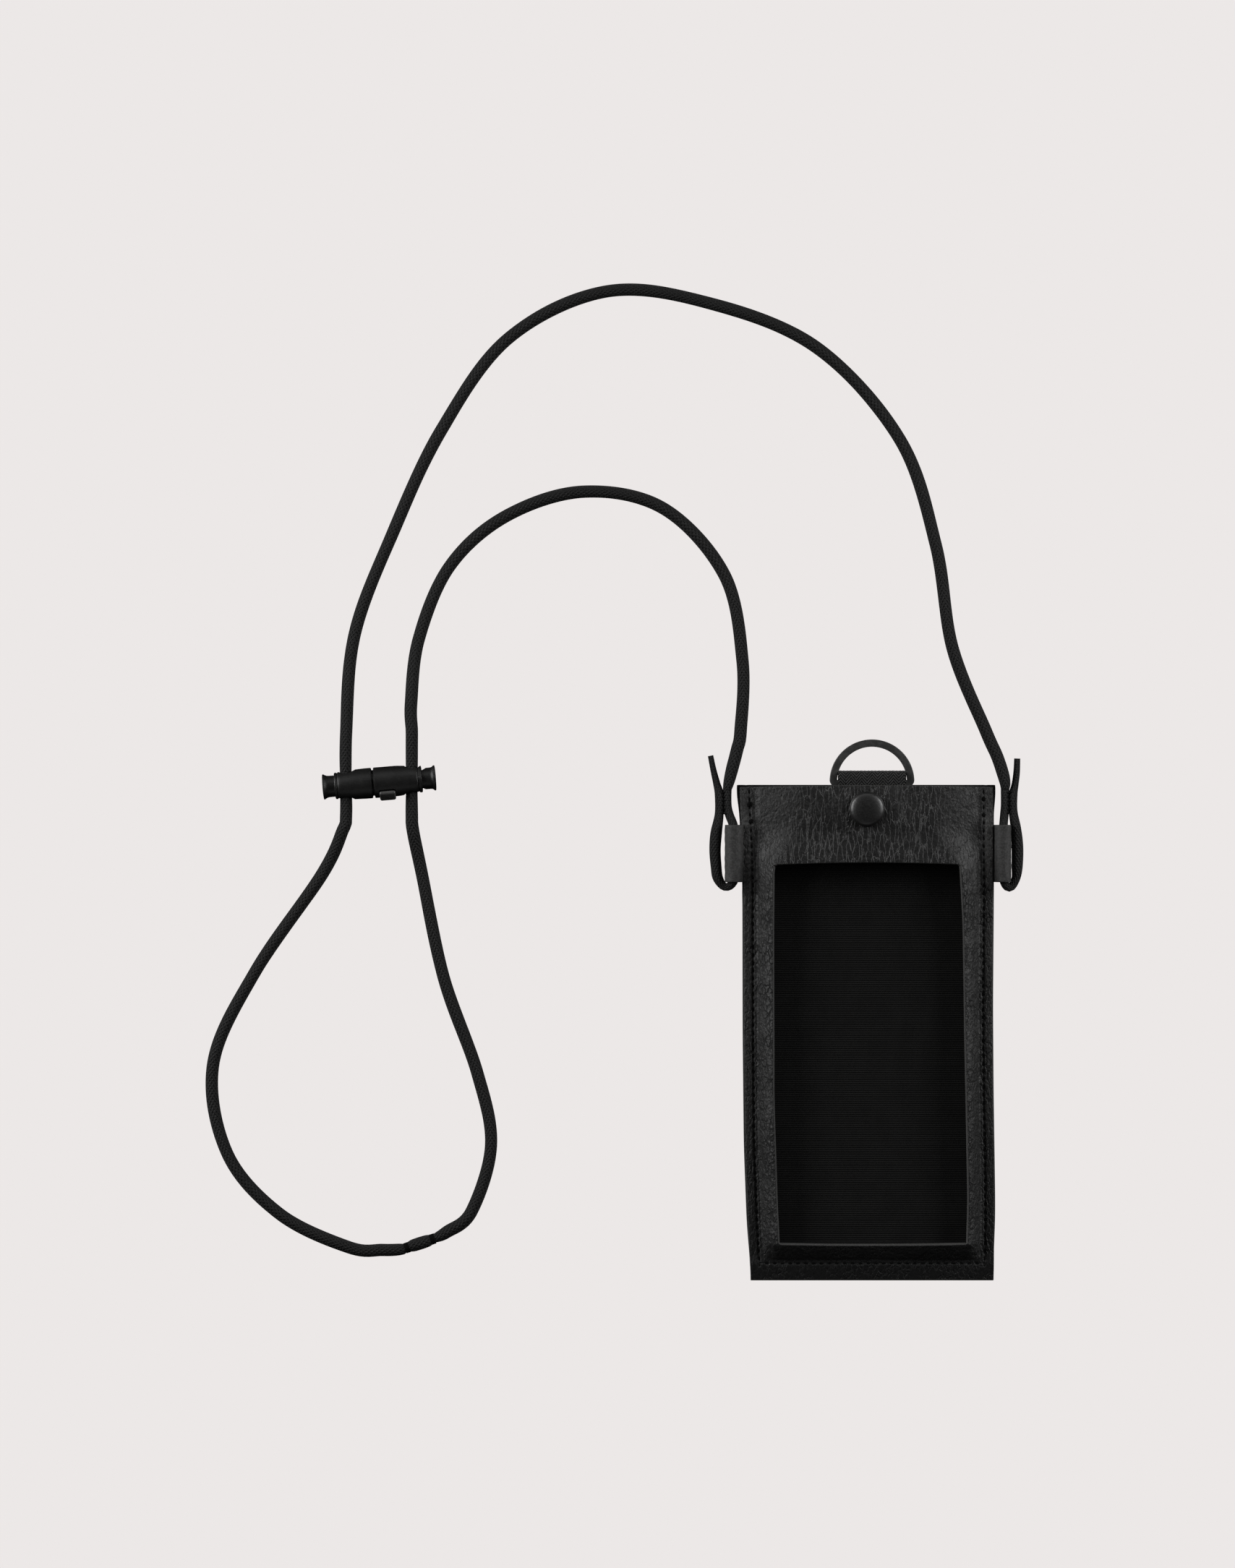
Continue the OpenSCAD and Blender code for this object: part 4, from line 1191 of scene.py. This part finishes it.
def lining():
    """The ribbed cloth on the back leather, raised where the webbing is sewn in under it."""
    pitch = RIB_PITCH / 6
    ys = np.arange(-83.8, 89.4 + pitch, pitch)
    fine = np.array([0, .2, .5, .8])
    pad_l, pad_r = PAD_X - PAD_HALF, PAD_X + PAD_HALF
    xs = np.concatenate([np.linspace(-44.4, pad_l - 0.8, 24), pad_l - 0.5 + fine, [pad_l + 0.8],
                         np.linspace(pad_l + 2, pad_r - 2, 12), [pad_r - 0.8], pad_r - 0.3 + fine,
                         np.linspace(pad_r + 0.9, 44.6, 24)])
    xs = np.unique(np.round(xs, 3))
    gx, gy = np.meshgrid(xs, ys)
    grow = 0.35 + 0.55 * ease((gy - 78) / 9)
    left, right = left_edge(gy) - grow, right_edge(gy) + grow
    keep = (gx - xs[0]) / (xs[-1] - xs[0])
    gx = lerp(gx, lerp(left, right, keep), ease((np.abs(gx - PAD_X) - 14) / 12))
    pad = ease((np.minimum(gx - pad_l, pad_r - gx) + 0.3) / 0.8) * ease((gy - PAD_Y + 0.3) / 0.9)
    pad = np.where(gy > 87.2, pad * ease((88.4 - gy) / 1.2), pad)
    lift = PAD_HIGH * pad
    rib = RIB_HIGH * np.cos(2 * math.pi * gy / RIB_PITCH)
    off_seam = ease((np.minimum(gx - left, right - gx) - 3) / 2) * ease((gy + 80) / 3)
    n, m = gx.shape
    q = n * m
    pts = np.concatenate([np.stack([gx, gy, z], -1).reshape(-1, 3)
                          for z in (LINING_HIGH + lift + rib * off_seam, LINING_LOW + lift)])
    fs = []
    for i in range(n - 1):
        for a in range(i * m, i * m + m - 1):
            fs.append([a, a + 1, a + m + 1, a + m])
            fs.append([q + a, q + a + m, q + a + m + 1, q + a + 1])
    rim = (around(m) + [i * m + m - 1 for i in range(1, n)]
           + [(n - 1) * m + j for j in range(m - 2, -1, -1)] + [i * m for i in range(n - 2, 0, -1)])
    fs += [[b, a, a + q, b + q] for a, b in zip(rim, rim[1:] + rim[:1])]
    return make("ribbed_lining", pts, fs, [lining_cloth], sharp=50)


lining_piece = place(lining(), "pouch", "ribbed_lining", "back_lining")
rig.sheet(lining_piece, flat=(0.0895, 0.1732), held="stretched", rests_on=["back_panel"])


# ---------------------------------------------------------------- thread
def height_at(x, y):
    return front_height(np.float64(x), np.float64(y))


def surface_up(x, y):
    e = 0.5
    gx = (height_at(x + e, y) - height_at(x - e, y)) / (2 * e)
    gy = (height_at(x, y + e) - height_at(x, y - e)) / (2 * e)
    return unit([-gx, -gy, 1])


ALONG_X, UP, DOWN = (1, 0, 0), (0, 0, 1), (0, 0, -1)
ABOVE_FACE, UNDER_BACK = 0.16, 0.14
RING_X = 1
KNOT_WIDE, KNOT_HIGH = 0.62, 0.45


def seam_thread():
    """The lockstitch up both sides and along the bottom, seen above and below, and its knots."""
    soup = Soup()
    for side, edge in ((-1, left_edge), (1, right_edge)):
        y = FIRST_STITCH_Y
        while y > ROW_Y + 0.4:
            x = edge(y) - side * ROW_IN
            along = ((edge(y + 1) - edge(y - 1)) / 2, 1, 0)
            soup.add(*stitch((x, y, height_at(x, y) + ABOVE_FACE), along, surface_up(x, y)))
            soup.add(*stitch((x, y - STITCH_PITCH / 2, UNDER_BACK), along, DOWN))
            y -= STITCH_PITCH
    for k in range(row_count):
        x = row_start + k * STITCH_PITCH
        soup.add(*stitch((x, ROW_Y, height_at(x, ROW_Y) + ABOVE_FACE), ALONG_X, UP))
        soup.add(*stitch((x + STITCH_PITCH / 2, ROW_Y, UNDER_BACK), ALONG_X, DOWN))
    # the sewer's knots: doubled thread at the mouth ends
    for edge, inset, y, length in ((left_edge, ROW_IN, 82.6, 2.0),
                                   (left_edge, ROW_IN + 0.3, 76.4, 1.6),
                                   (right_edge, -ROW_IN, 84.5, 1.9),
                                   (right_edge, -ROW_IN, 78.6, 1.6)):
        at = (edge(y) + inset, y, height_at(edge(y) + inset, y) + 0.3)
        soup.add(*stitch(at, (0.2, 1, 0), UP, length, KNOT_WIDE, KNOT_HIGH))
    place(soup.make("seam_thread", thread), "pouch", "thread", "seam_stitches")


def bar_tacks():
    """The two rows that hold the webbing's ends."""
    soup = Soup()
    for y in (73.2, 86.4):
        for k in range(8):
            soup.add(*stitch((RING_X + (k - 3.5) * STITCH_PITCH, y, 3.52), ALONG_X, UP))
    place(soup.make("webbing_bar_tacks", thread), "pouch", "thread", "webbing_stitches")


seam_thread()
bar_tacks()


# ---------------------------------------------------------------- side tabs
TAB_HALF_T = 0.44
TAB_LOW, TAB_HIGH = 54.5, 75.1
TAB_FOLD_R = 2.9
TAB_BEND_X = 46          # the strip lies flat up to here and then goes round the cord


def side_tab(side, name):
    """A leather strip folded round the cord end, both ends sewn in under the front leather."""
    x = [40.3, 42.2, 43.9, 44.9, 45.5, 46.3, 47.2, 48.6, 50.1, 51.1, 51.5, 51.1, 50.1, 48.6, 47.2,
         46.3, 45.7, 45.0, 43.9, 42.2, 40.3]
    z = [2.05, 2.05, 2.04, 1.98, 1.75, 1.25, 0.85, 0.70, 1.09, 2.15, 3.6, 5.05, 6.11, 6.5, 6.15,
         5.3, 4.2, 3.0, 2.58, 2.55, 2.55]
    hole_x, shrink = (48.6, 0) if side < 0 else (48.2, 0.45)
    size = 1 - shrink / TAB_FOLD_R
    x = [a if a < TAB_BEND_X else hole_x + (a - 48.6) * size for a in x]
    z = [b if a < TAB_BEND_X else TAB_Z + (b - TAB_Z) * size for a, b in zip(x, z)]
    line, along = smooth_line([[a, 0, b, 1] for a, b in zip(x, z)], 0.3)
    mid = line[:, [0, 2]]
    t = unit(np.gradient(mid, axis=0))
    nrm = np.stack([t[:, 1], -t[:, 0]], 1)
    # the strip's section: y and the share of its half thickness, with rounded edges
    ys = np.linspace(TAB_LOW + 0.8, TAB_HIGH - 0.8, 22)
    edge = [(0.22, 1), (0.05, 0.8), (0, 0.35), (0, -0.35), (0.05, -0.8), (0.22, -1)]
    prof = ([(TAB_LOW + d, s) for d, s in edge] + [(y, -1) for y in ys]
            + [(TAB_HIGH - d, s) for d, s in edge[::-1]] + [(y, 1) for y in ys[::-1]])
    m, n = len(prof), len(mid)
    pts, uv = [], []
    for i in range(n):
        skived = TAB_HALF_T * (0.5 + 0.5 * ease((mid[i][0] - 43) / 3.5))
        for y, s in prof:
            grain = 0.05 * math.sin(y * 1.9 + i * 0.31) + 0.04 * math.sin(y * 0.7 - i * 0.53)
            p = mid[i] + nrm[i] * (s * skived + (grain if s > 0.9 and mid[i][0] > 46 else 0))
            pts.append((side * p[0], y, p[1]))
            uv.append((along[i], y))
    cut = [int(abs(a) < 0.9 or abs(b) < 0.9) for (_, a), (_, b) in zip(prof, prof[1:] + prof[:1])]
    fs = skin(n, m) + lids(n, m)
    if side < 0:
        fs = [f[::-1] for f in fs]
    obj = make(name + "_strip", pts, fs, [tab_leather, cut_edge], which=cut * (n - 1) + [1, 1],
               uv=uv, sharp=50)
    place(obj, "pouch", "tab_leather", name)


side_tab(-1, "left_tab")
side_tab(1, "right_tab")


# ---------------------------------------------------------------- webbing loop and D-ring
WEB_HALF_W, WEB_HALF_T, WALE_HIGH = 12.2, 0.36, 0.09


def webbing_loop():
    """The woven tape: one end under the patch, up round the ring's bar and back."""
    y = [72, 78, 83, 86.2, 87.2, 87.75, 88.0, 88.8, 90, 92, 93.56, 94.2, 93.56, 92, 90, 84, 78, 72]
    z = [2.5, 2.5, 2.5, 2.52, 2.85, 3.6, 4.6, 5.7, 6.1, 6.1, 5.46, 3.9, 2.34, 1.7, 1.7, 1.7, 1.7, 1.7]
    line, along = smooth_line([[0, a, b, 1] for a, b in zip(y, z)], 0.22)
    mid = line[:, [1, 2]]
    t = unit(np.gradient(mid, axis=0))
    nrm = np.stack([-t[:, 1], t[:, 0]], 1)
    us = np.linspace(-WEB_HALF_W + 0.25, WEB_HALF_W - 0.25, 90)
    prof = ([(u, 1) for u in us] + [(WEB_HALF_W, 0.5), (WEB_HALF_W, -0.5)]
            + [(u, -1) for u in us[::-1]] + [(-WEB_HALF_W, -0.5), (-WEB_HALF_W, 0.5)])
    pts, uv = [], []
    for i in range(len(mid)):
        for u, s in prof:
            column = abs((u + WALE_COLUMN) % (2 * WALE_COLUMN) - WALE_COLUMN)
            wale = WALE_HIGH * math.sin((WALE_SLANT * column + along[i]) * 2 * math.pi / WALE_PITCH)
            p = mid[i] + nrm[i] * s * (WEB_HALF_T + (wale if abs(s) == 1 else 0))
            pts.append((RING_X + u, p[0], p[1]))
            uv.append((u, along[i]))
    fs = skin(len(mid), len(prof)) + lids(len(mid), len(prof))
    obj = make("ring_webbing_loop", pts, fs, [webbing], uv=uv, sharp=60)
    place(obj, "pouch", "webbing", "ring_webbing")


webbing_loop()
RING_R, RING_Y, RING_Z = 13.9, 90.6, 3.9
BAR_Y, BAR_HALF, BAR_CORNER = 90, 12.6, 1.3


def arc(cx, cy, r, start, stop, steps):
    """Points on an arc, without the first; angles in radians from the x axis."""
    return [(cx + r * math.cos(a), cy + r * math.sin(a))
            for a in np.linspace(start, stop, steps)[1:]]


def d_ring():
    """A D of flat bar with rounded edges: a straight bar, two tight corners and a bow."""
    corner_y = BAR_Y + BAR_CORNER
    start = math.asin((corner_y - RING_Y) / RING_R)
    pts = [(x, float(BAR_Y)) for x in np.linspace(-BAR_HALF, BAR_HALF, 44)]
    pts += arc(BAR_HALF, corner_y, BAR_CORNER, -math.pi / 2, 0, 9)
    pts += arc(0, RING_Y, RING_R, start, math.pi - start, 96)
    pts += arc(-BAR_HALF, corner_y, BAR_CORNER, math.pi, math.pi * 1.5, 9)[:-1]
    line = np.array([(RING_X + x, y, RING_Z) for x, y in pts])
    half_w, half_t, r = 1.32, 1.1, 0.28
    section = [(cx + r * c, cz + r * s)
               for cx, cz, c, s in corners(-half_w, -half_t, half_w, half_t, r, 5)]
    p, f, uv = sweep(line, np.arange(len(line)) * 1.0, section[::-1], closed=True)
    place(make("ring_d", p, f, [coated_metal], uv=uv, sharp=60), "ring", "coated_metal", "d_ring")


d_ring()


# ---------------------------------------------------------------- snap
AXIS = 0.02              # a turned part ends this near its axis


def upright(name, profile, body, node_name, corner):
    """A turned part of the snap, from (height, radius) pairs with corners of the given radius."""
    pts, fs = lathe(rounded(profile, corner), 96)
    pts = np.stack([SNAP[0] + pts[:, 1], SNAP[1] + pts[:, 2], pts[:, 0]], 1)
    place(make(name, pts, fs, [snap_metal], sharp=35), body, "snap_metal", node_name)


dome = [(8.72, AXIS), (8.72, 5.9), (8.66, 6.2), (8.80, 6.35), (9.15, 6.33), (9.42, 6.1)]
dome += [(9.42 + 1.86 * math.sin(math.radians(a)) ** 0.85, 6.0 * math.cos(math.radians(a)) ** 0.9)
         for a in np.linspace(8, 88, 15)] + [(11.28, AXIS)]
upright("snap_cap_dome", dome, "snap_flap", "snap_cap", 0.18)
upright("snap_socket_ring", [(6.9, AXIS), (6.9, 2.12), (4.7, 2.12), (4.5, 2.4), (4.5, 4.4), (5.4, 4.6),
                             (6.2, 5.6), (7.38, 5.5), (7.38, AXIS)], "snap_flap", "snap_socket", 0.2)
upright("snap_stud_ring", [(3.45, AXIS), (3.45, 5.0), (3.75, 5.2), (4.0, 5.0), (4.05, 2.3), (4.6, 1.8),
                           (5.6, 1.8), (6.1, 2.0), (6.5, 1.7), (6.6, AXIS)], "pouch", "snap_stud", 0.2)
upright("snap_post_rivet", [(0.02, AXIS), (0.02, 4.2), (0.25, 4.5), (0.5, 4.4), (0.55, 1.4),
                            (4.2, 1.4), (4.2, AXIS)], "pouch", "snap_post", 0.15)

# ---------------------------------------------------------------- stopper
STOPPER = np.array([-178.2, 90.2, 5.5])
TILT = math.radians(4.7)
U = np.array([math.cos(TILT), math.sin(TILT), 0])
V = np.array([-math.sin(TILT), math.cos(TILT), 0])
W = np.array([0, 0, 1.0])
LATCH_TURN = math.radians(-32)
BORE_R = 3.95
STEM_R = 3.85
LEFT_HOLE_U, RIGHT_HOLE_U, HOLE_R = -9.6, 13.9, 3.0
SLOT_HALF_H = 2.45


def on_stopper(pts):
    """Points (u, v, w) in mm, u along the barrels, placed in the frame."""
    pts = np.asarray(pts, float)
    return STOPPER + pts[:, :1] * U + pts[:, 1:2] * V + pts[:, 2:3] * W


def solid(name, pts, fs):
    return make(name, pts, fs, [plastic], sharp=40)


def turned(name, profile, steps=96):
    """A turned solid on the stopper's axis."""
    pts, fs = lathe(profile, steps)
    return solid(name, on_stopper(pts), fs)


def bore(low, high, r):
    return turned("bore", [(low, r), (high, r)], 64)


def cord_hole(u):
    """A rod along Y through the stopper at u, to cut the hole for a cord."""
    pts, fs = lathe([(-20, HOLE_R), (20, HOLE_R)], 40)
    return solid("hole", STOPPER + u * U + pts[:, [1, 0, 2]], [f[::-1] for f in fs])


def cord_slot(low, high):
    """A cutter with round ends along Y, from u low to u high, so that a plunger can move."""
    c = SLOT_HALF_H * 0.98
    outline = [(cu + c * math.cos(a), SLOT_HALF_H * math.sin(a))
               for cu, start in ((high - c, -90), (low + c, 90))
               for a in (math.radians(start + 180 * k / 12) for k in range(13))]
    m = len(outline)
    pts = on_stopper([(u, 0, w) for _ in range(2) for u, w in outline])
    pts[:, 1] += np.repeat([-12, 12], m)
    return solid("slot", pts, [f[::-1] for f in skin(2, m) + lids(2, m)])


def latch_block(low, high, corner, rings):
    """A block at the latch with round plan corners, stacked in rings of (radial height, inset)."""
    outline = corners(*low, *high, corner, 6)
    pts = np.array([(cu + (corner - inset) * ca, cs + (corner - inset) * sa, height)
                    for height, inset in rings for cu, cs, ca, sa in outline])
    c, s = math.cos(LATCH_TURN), math.sin(LATCH_TURN)
    v, w = -pts[:, 2], pts[:, 1]
    pts = on_stopper(np.stack([pts[:, 0], v * c - w * s, v * s + w * c], 1))
    return pts, skin(len(rings), len(outline)) + lids(len(rings), len(outline))


def latch_cut(low, high, corner, bottom, top):
    return solid("latch_cut", *latch_block(low, high, corner, [(bottom, 0), (top, 0)]))


def barrel_wall(first, last, count, at, radii):
    """The slightly bulged outside of a barrel, from its radius at a few places along it."""
    return [(u, float(np.interp(u, at, radii))) for u in np.linspace(first, last, count)]


def moulded(obj, cutters, edge, body, node_name):
    """Cuts a plastic part out and rounds its edges."""
    carve(obj, *cutters)
    soften(obj, edge)
    place(obj, body, "stopper_plastic", node_name)


left_barrel = turned("left_barrel_shell", [
    (-13.9, 0.01), (-13.9, 4.35), (-13.82, 4.62), (-13.6, 4.76), (-13.2, 4.78), (-13.05, 4.72),
    (-12.95, 4.58), (-12.75, 4.58), (-12.6, 4.80),
    *barrel_wall(-12.3, -0.9, 14, [-12.9, -11, -7, -3, -0.9], [4.88, 5.02, 5.33, 5.49, 5.5]),
    (-0.62, 5.46), (-0.5, 5.3), (-0.46, 4.7), (0, 4.6), (0, 3.2), (4.5, 3.2), (4.9, 2.9), (4.9, 0.01)])
right_barrel = turned("right_barrel_shell", [
    (0, 0.01), (0, 4.6), (0.26, 4.7), (0.30, 5.3), (0.42, 5.46), (0.7, 5.5),
    *barrel_wall(1.2, 15.8, 16, [0.6, 4, 8.5, 12, 16.2], [5.5, 5.5, 5.5, 5.2, 4.92]),
    (16.0, 4.86), (16.15, 4.62), (16.4, 4.60), (16.55, 4.78), (16.8, 4.84), (17.25, 4.82),
    (17.42, 4.7), (17.5, 4.4), (17.5, 0.01)])
# the left barrel's plug is flat where the latch comes down on it
plug_flat = latch_cut((0.1, -6), (8, 6), 0.3, 2.75, 8)
moulded(left_barrel, [bore(-14.5, -1.4, BORE_R), cord_hole(LEFT_HOLE_U), plug_flat], 0.22,
        "left_half", "left_barrel")
# the right barrel has a bore for its plunger, a socket for the plug, and a pocket for the latch
pocket = latch_cut((1.85, -2.55), (7.95, 2.55), 0.7, 4.65, 8)
opening = latch_cut((2.25, -1.35), (4.95, 1.35), 0.3, 2.5, 6)
moulded(right_barrel, [bore(6.1, 18, BORE_R), bore(-0.5, 5.2, 3.3), cord_hole(RIGHT_HOLE_U), pocket,
                       opening], 0.2, "right_half", "right_barrel")

latch = Soup()
latch.add(*latch_block((2.0, -2.4), (7.8, 2.4), 0.8, [
    (5.35, 0.15), (5.45, 0.02), (5.9, 0), (6.25, 0.06), (6.45, 0.2), (6.56, 0.42), (6.6, 0.62)]))
latch.add(*latch_block((2.4, -1.2), (4.8, 1.2), 0.25, [(3.45, 0.1), (3.6, 0), (5.36, 0)]))
place(latch.make("latch_pad", latch_plastic_painted_light), "latch", "stopper_plastic", "latch_button")

left_stem = turned("left_plunger_stem", [
    (-18.2, 0.01), (-18.2, 3.9), (-18.12, 4.45), (-17.95, 4.56), (-17.6, 4.5), (-17.2, 4.2),
    (-16.6, 3.95), (-15.8, 3.86), (-14.0, STEM_R), (-4.9, STEM_R), (-4.6, 3.6), (-4.6, 0.01)])
moulded(left_stem, [bore(-6.3, -4.0, 2.6), cord_slot(-14.55, -7.10)], 0.18, "left_button",
        "left_plunger")
right_stem = turned("right_plunger_stem", [
    (9.0, 0.01), (9.0, 3.6), (9.3, STEM_R), (17.6, STEM_R), (20.4, 3.86), (21.0, 3.93), (21.4, 4.12),
    (21.75, 4.5), (22.1, 4.56), (22.32, 4.45), (22.4, 3.9), (22.4, 0.01)])
moulded(right_stem, [bore(8.4, 10.5, 2.6), cord_slot(11.40, 18.85)], 0.18, "right_button",
        "right_plunger")
COIL_R, WIRE_R, COIL_TURNS, WIRE_END = 2.2, 0.3, 4, 0.3


def spring(name, low, high, low_body, high_body, node_name):
    """A coil from u low to u high that shortens between the two bodies that hold its ends."""
    t = np.linspace(0, 1, COIL_TURNS * 40 + 1)
    a = t * COIL_TURNS * 2 * math.pi
    rise = ease(t * 0.5 + 0.25)
    u = lerp(low + WIRE_END, high - WIRE_END, (rise - rise[0]) / (rise[-1] - rise[0]))
    line = on_stopper(np.stack([u, COIL_R * np.cos(a), COIL_R * np.sin(a)], 1))
    line = np.concatenate([line, np.full((len(a), 1), WIRE_R)], 1)
    p, f, uv = sweep(line, a * COIL_R, circle(10))
    coil = make(name, p, f, [steel], uv=uv, sharp=60)
    ends = on_stopper([(low, 0, 0), (high, 0, 0)]) * MM
    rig.blend(coil, low_body, high_body, tuple(ends[0].tolist()), tuple(ends[1].tolist()))
    stand_for(coil, "spring_steel", node_name)


spring("left_coil", -6.25, -1.45, "left_button", "left_half", "left_spring")
spring("right_coil", 6.15, 10.45, "right_half", "right_button", "right_spring")

with open("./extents.json", "w") as out:
    json.dump({"cad": [list(c) for c in cad_box], "visual": [list(c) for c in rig.bounds()]}, out)
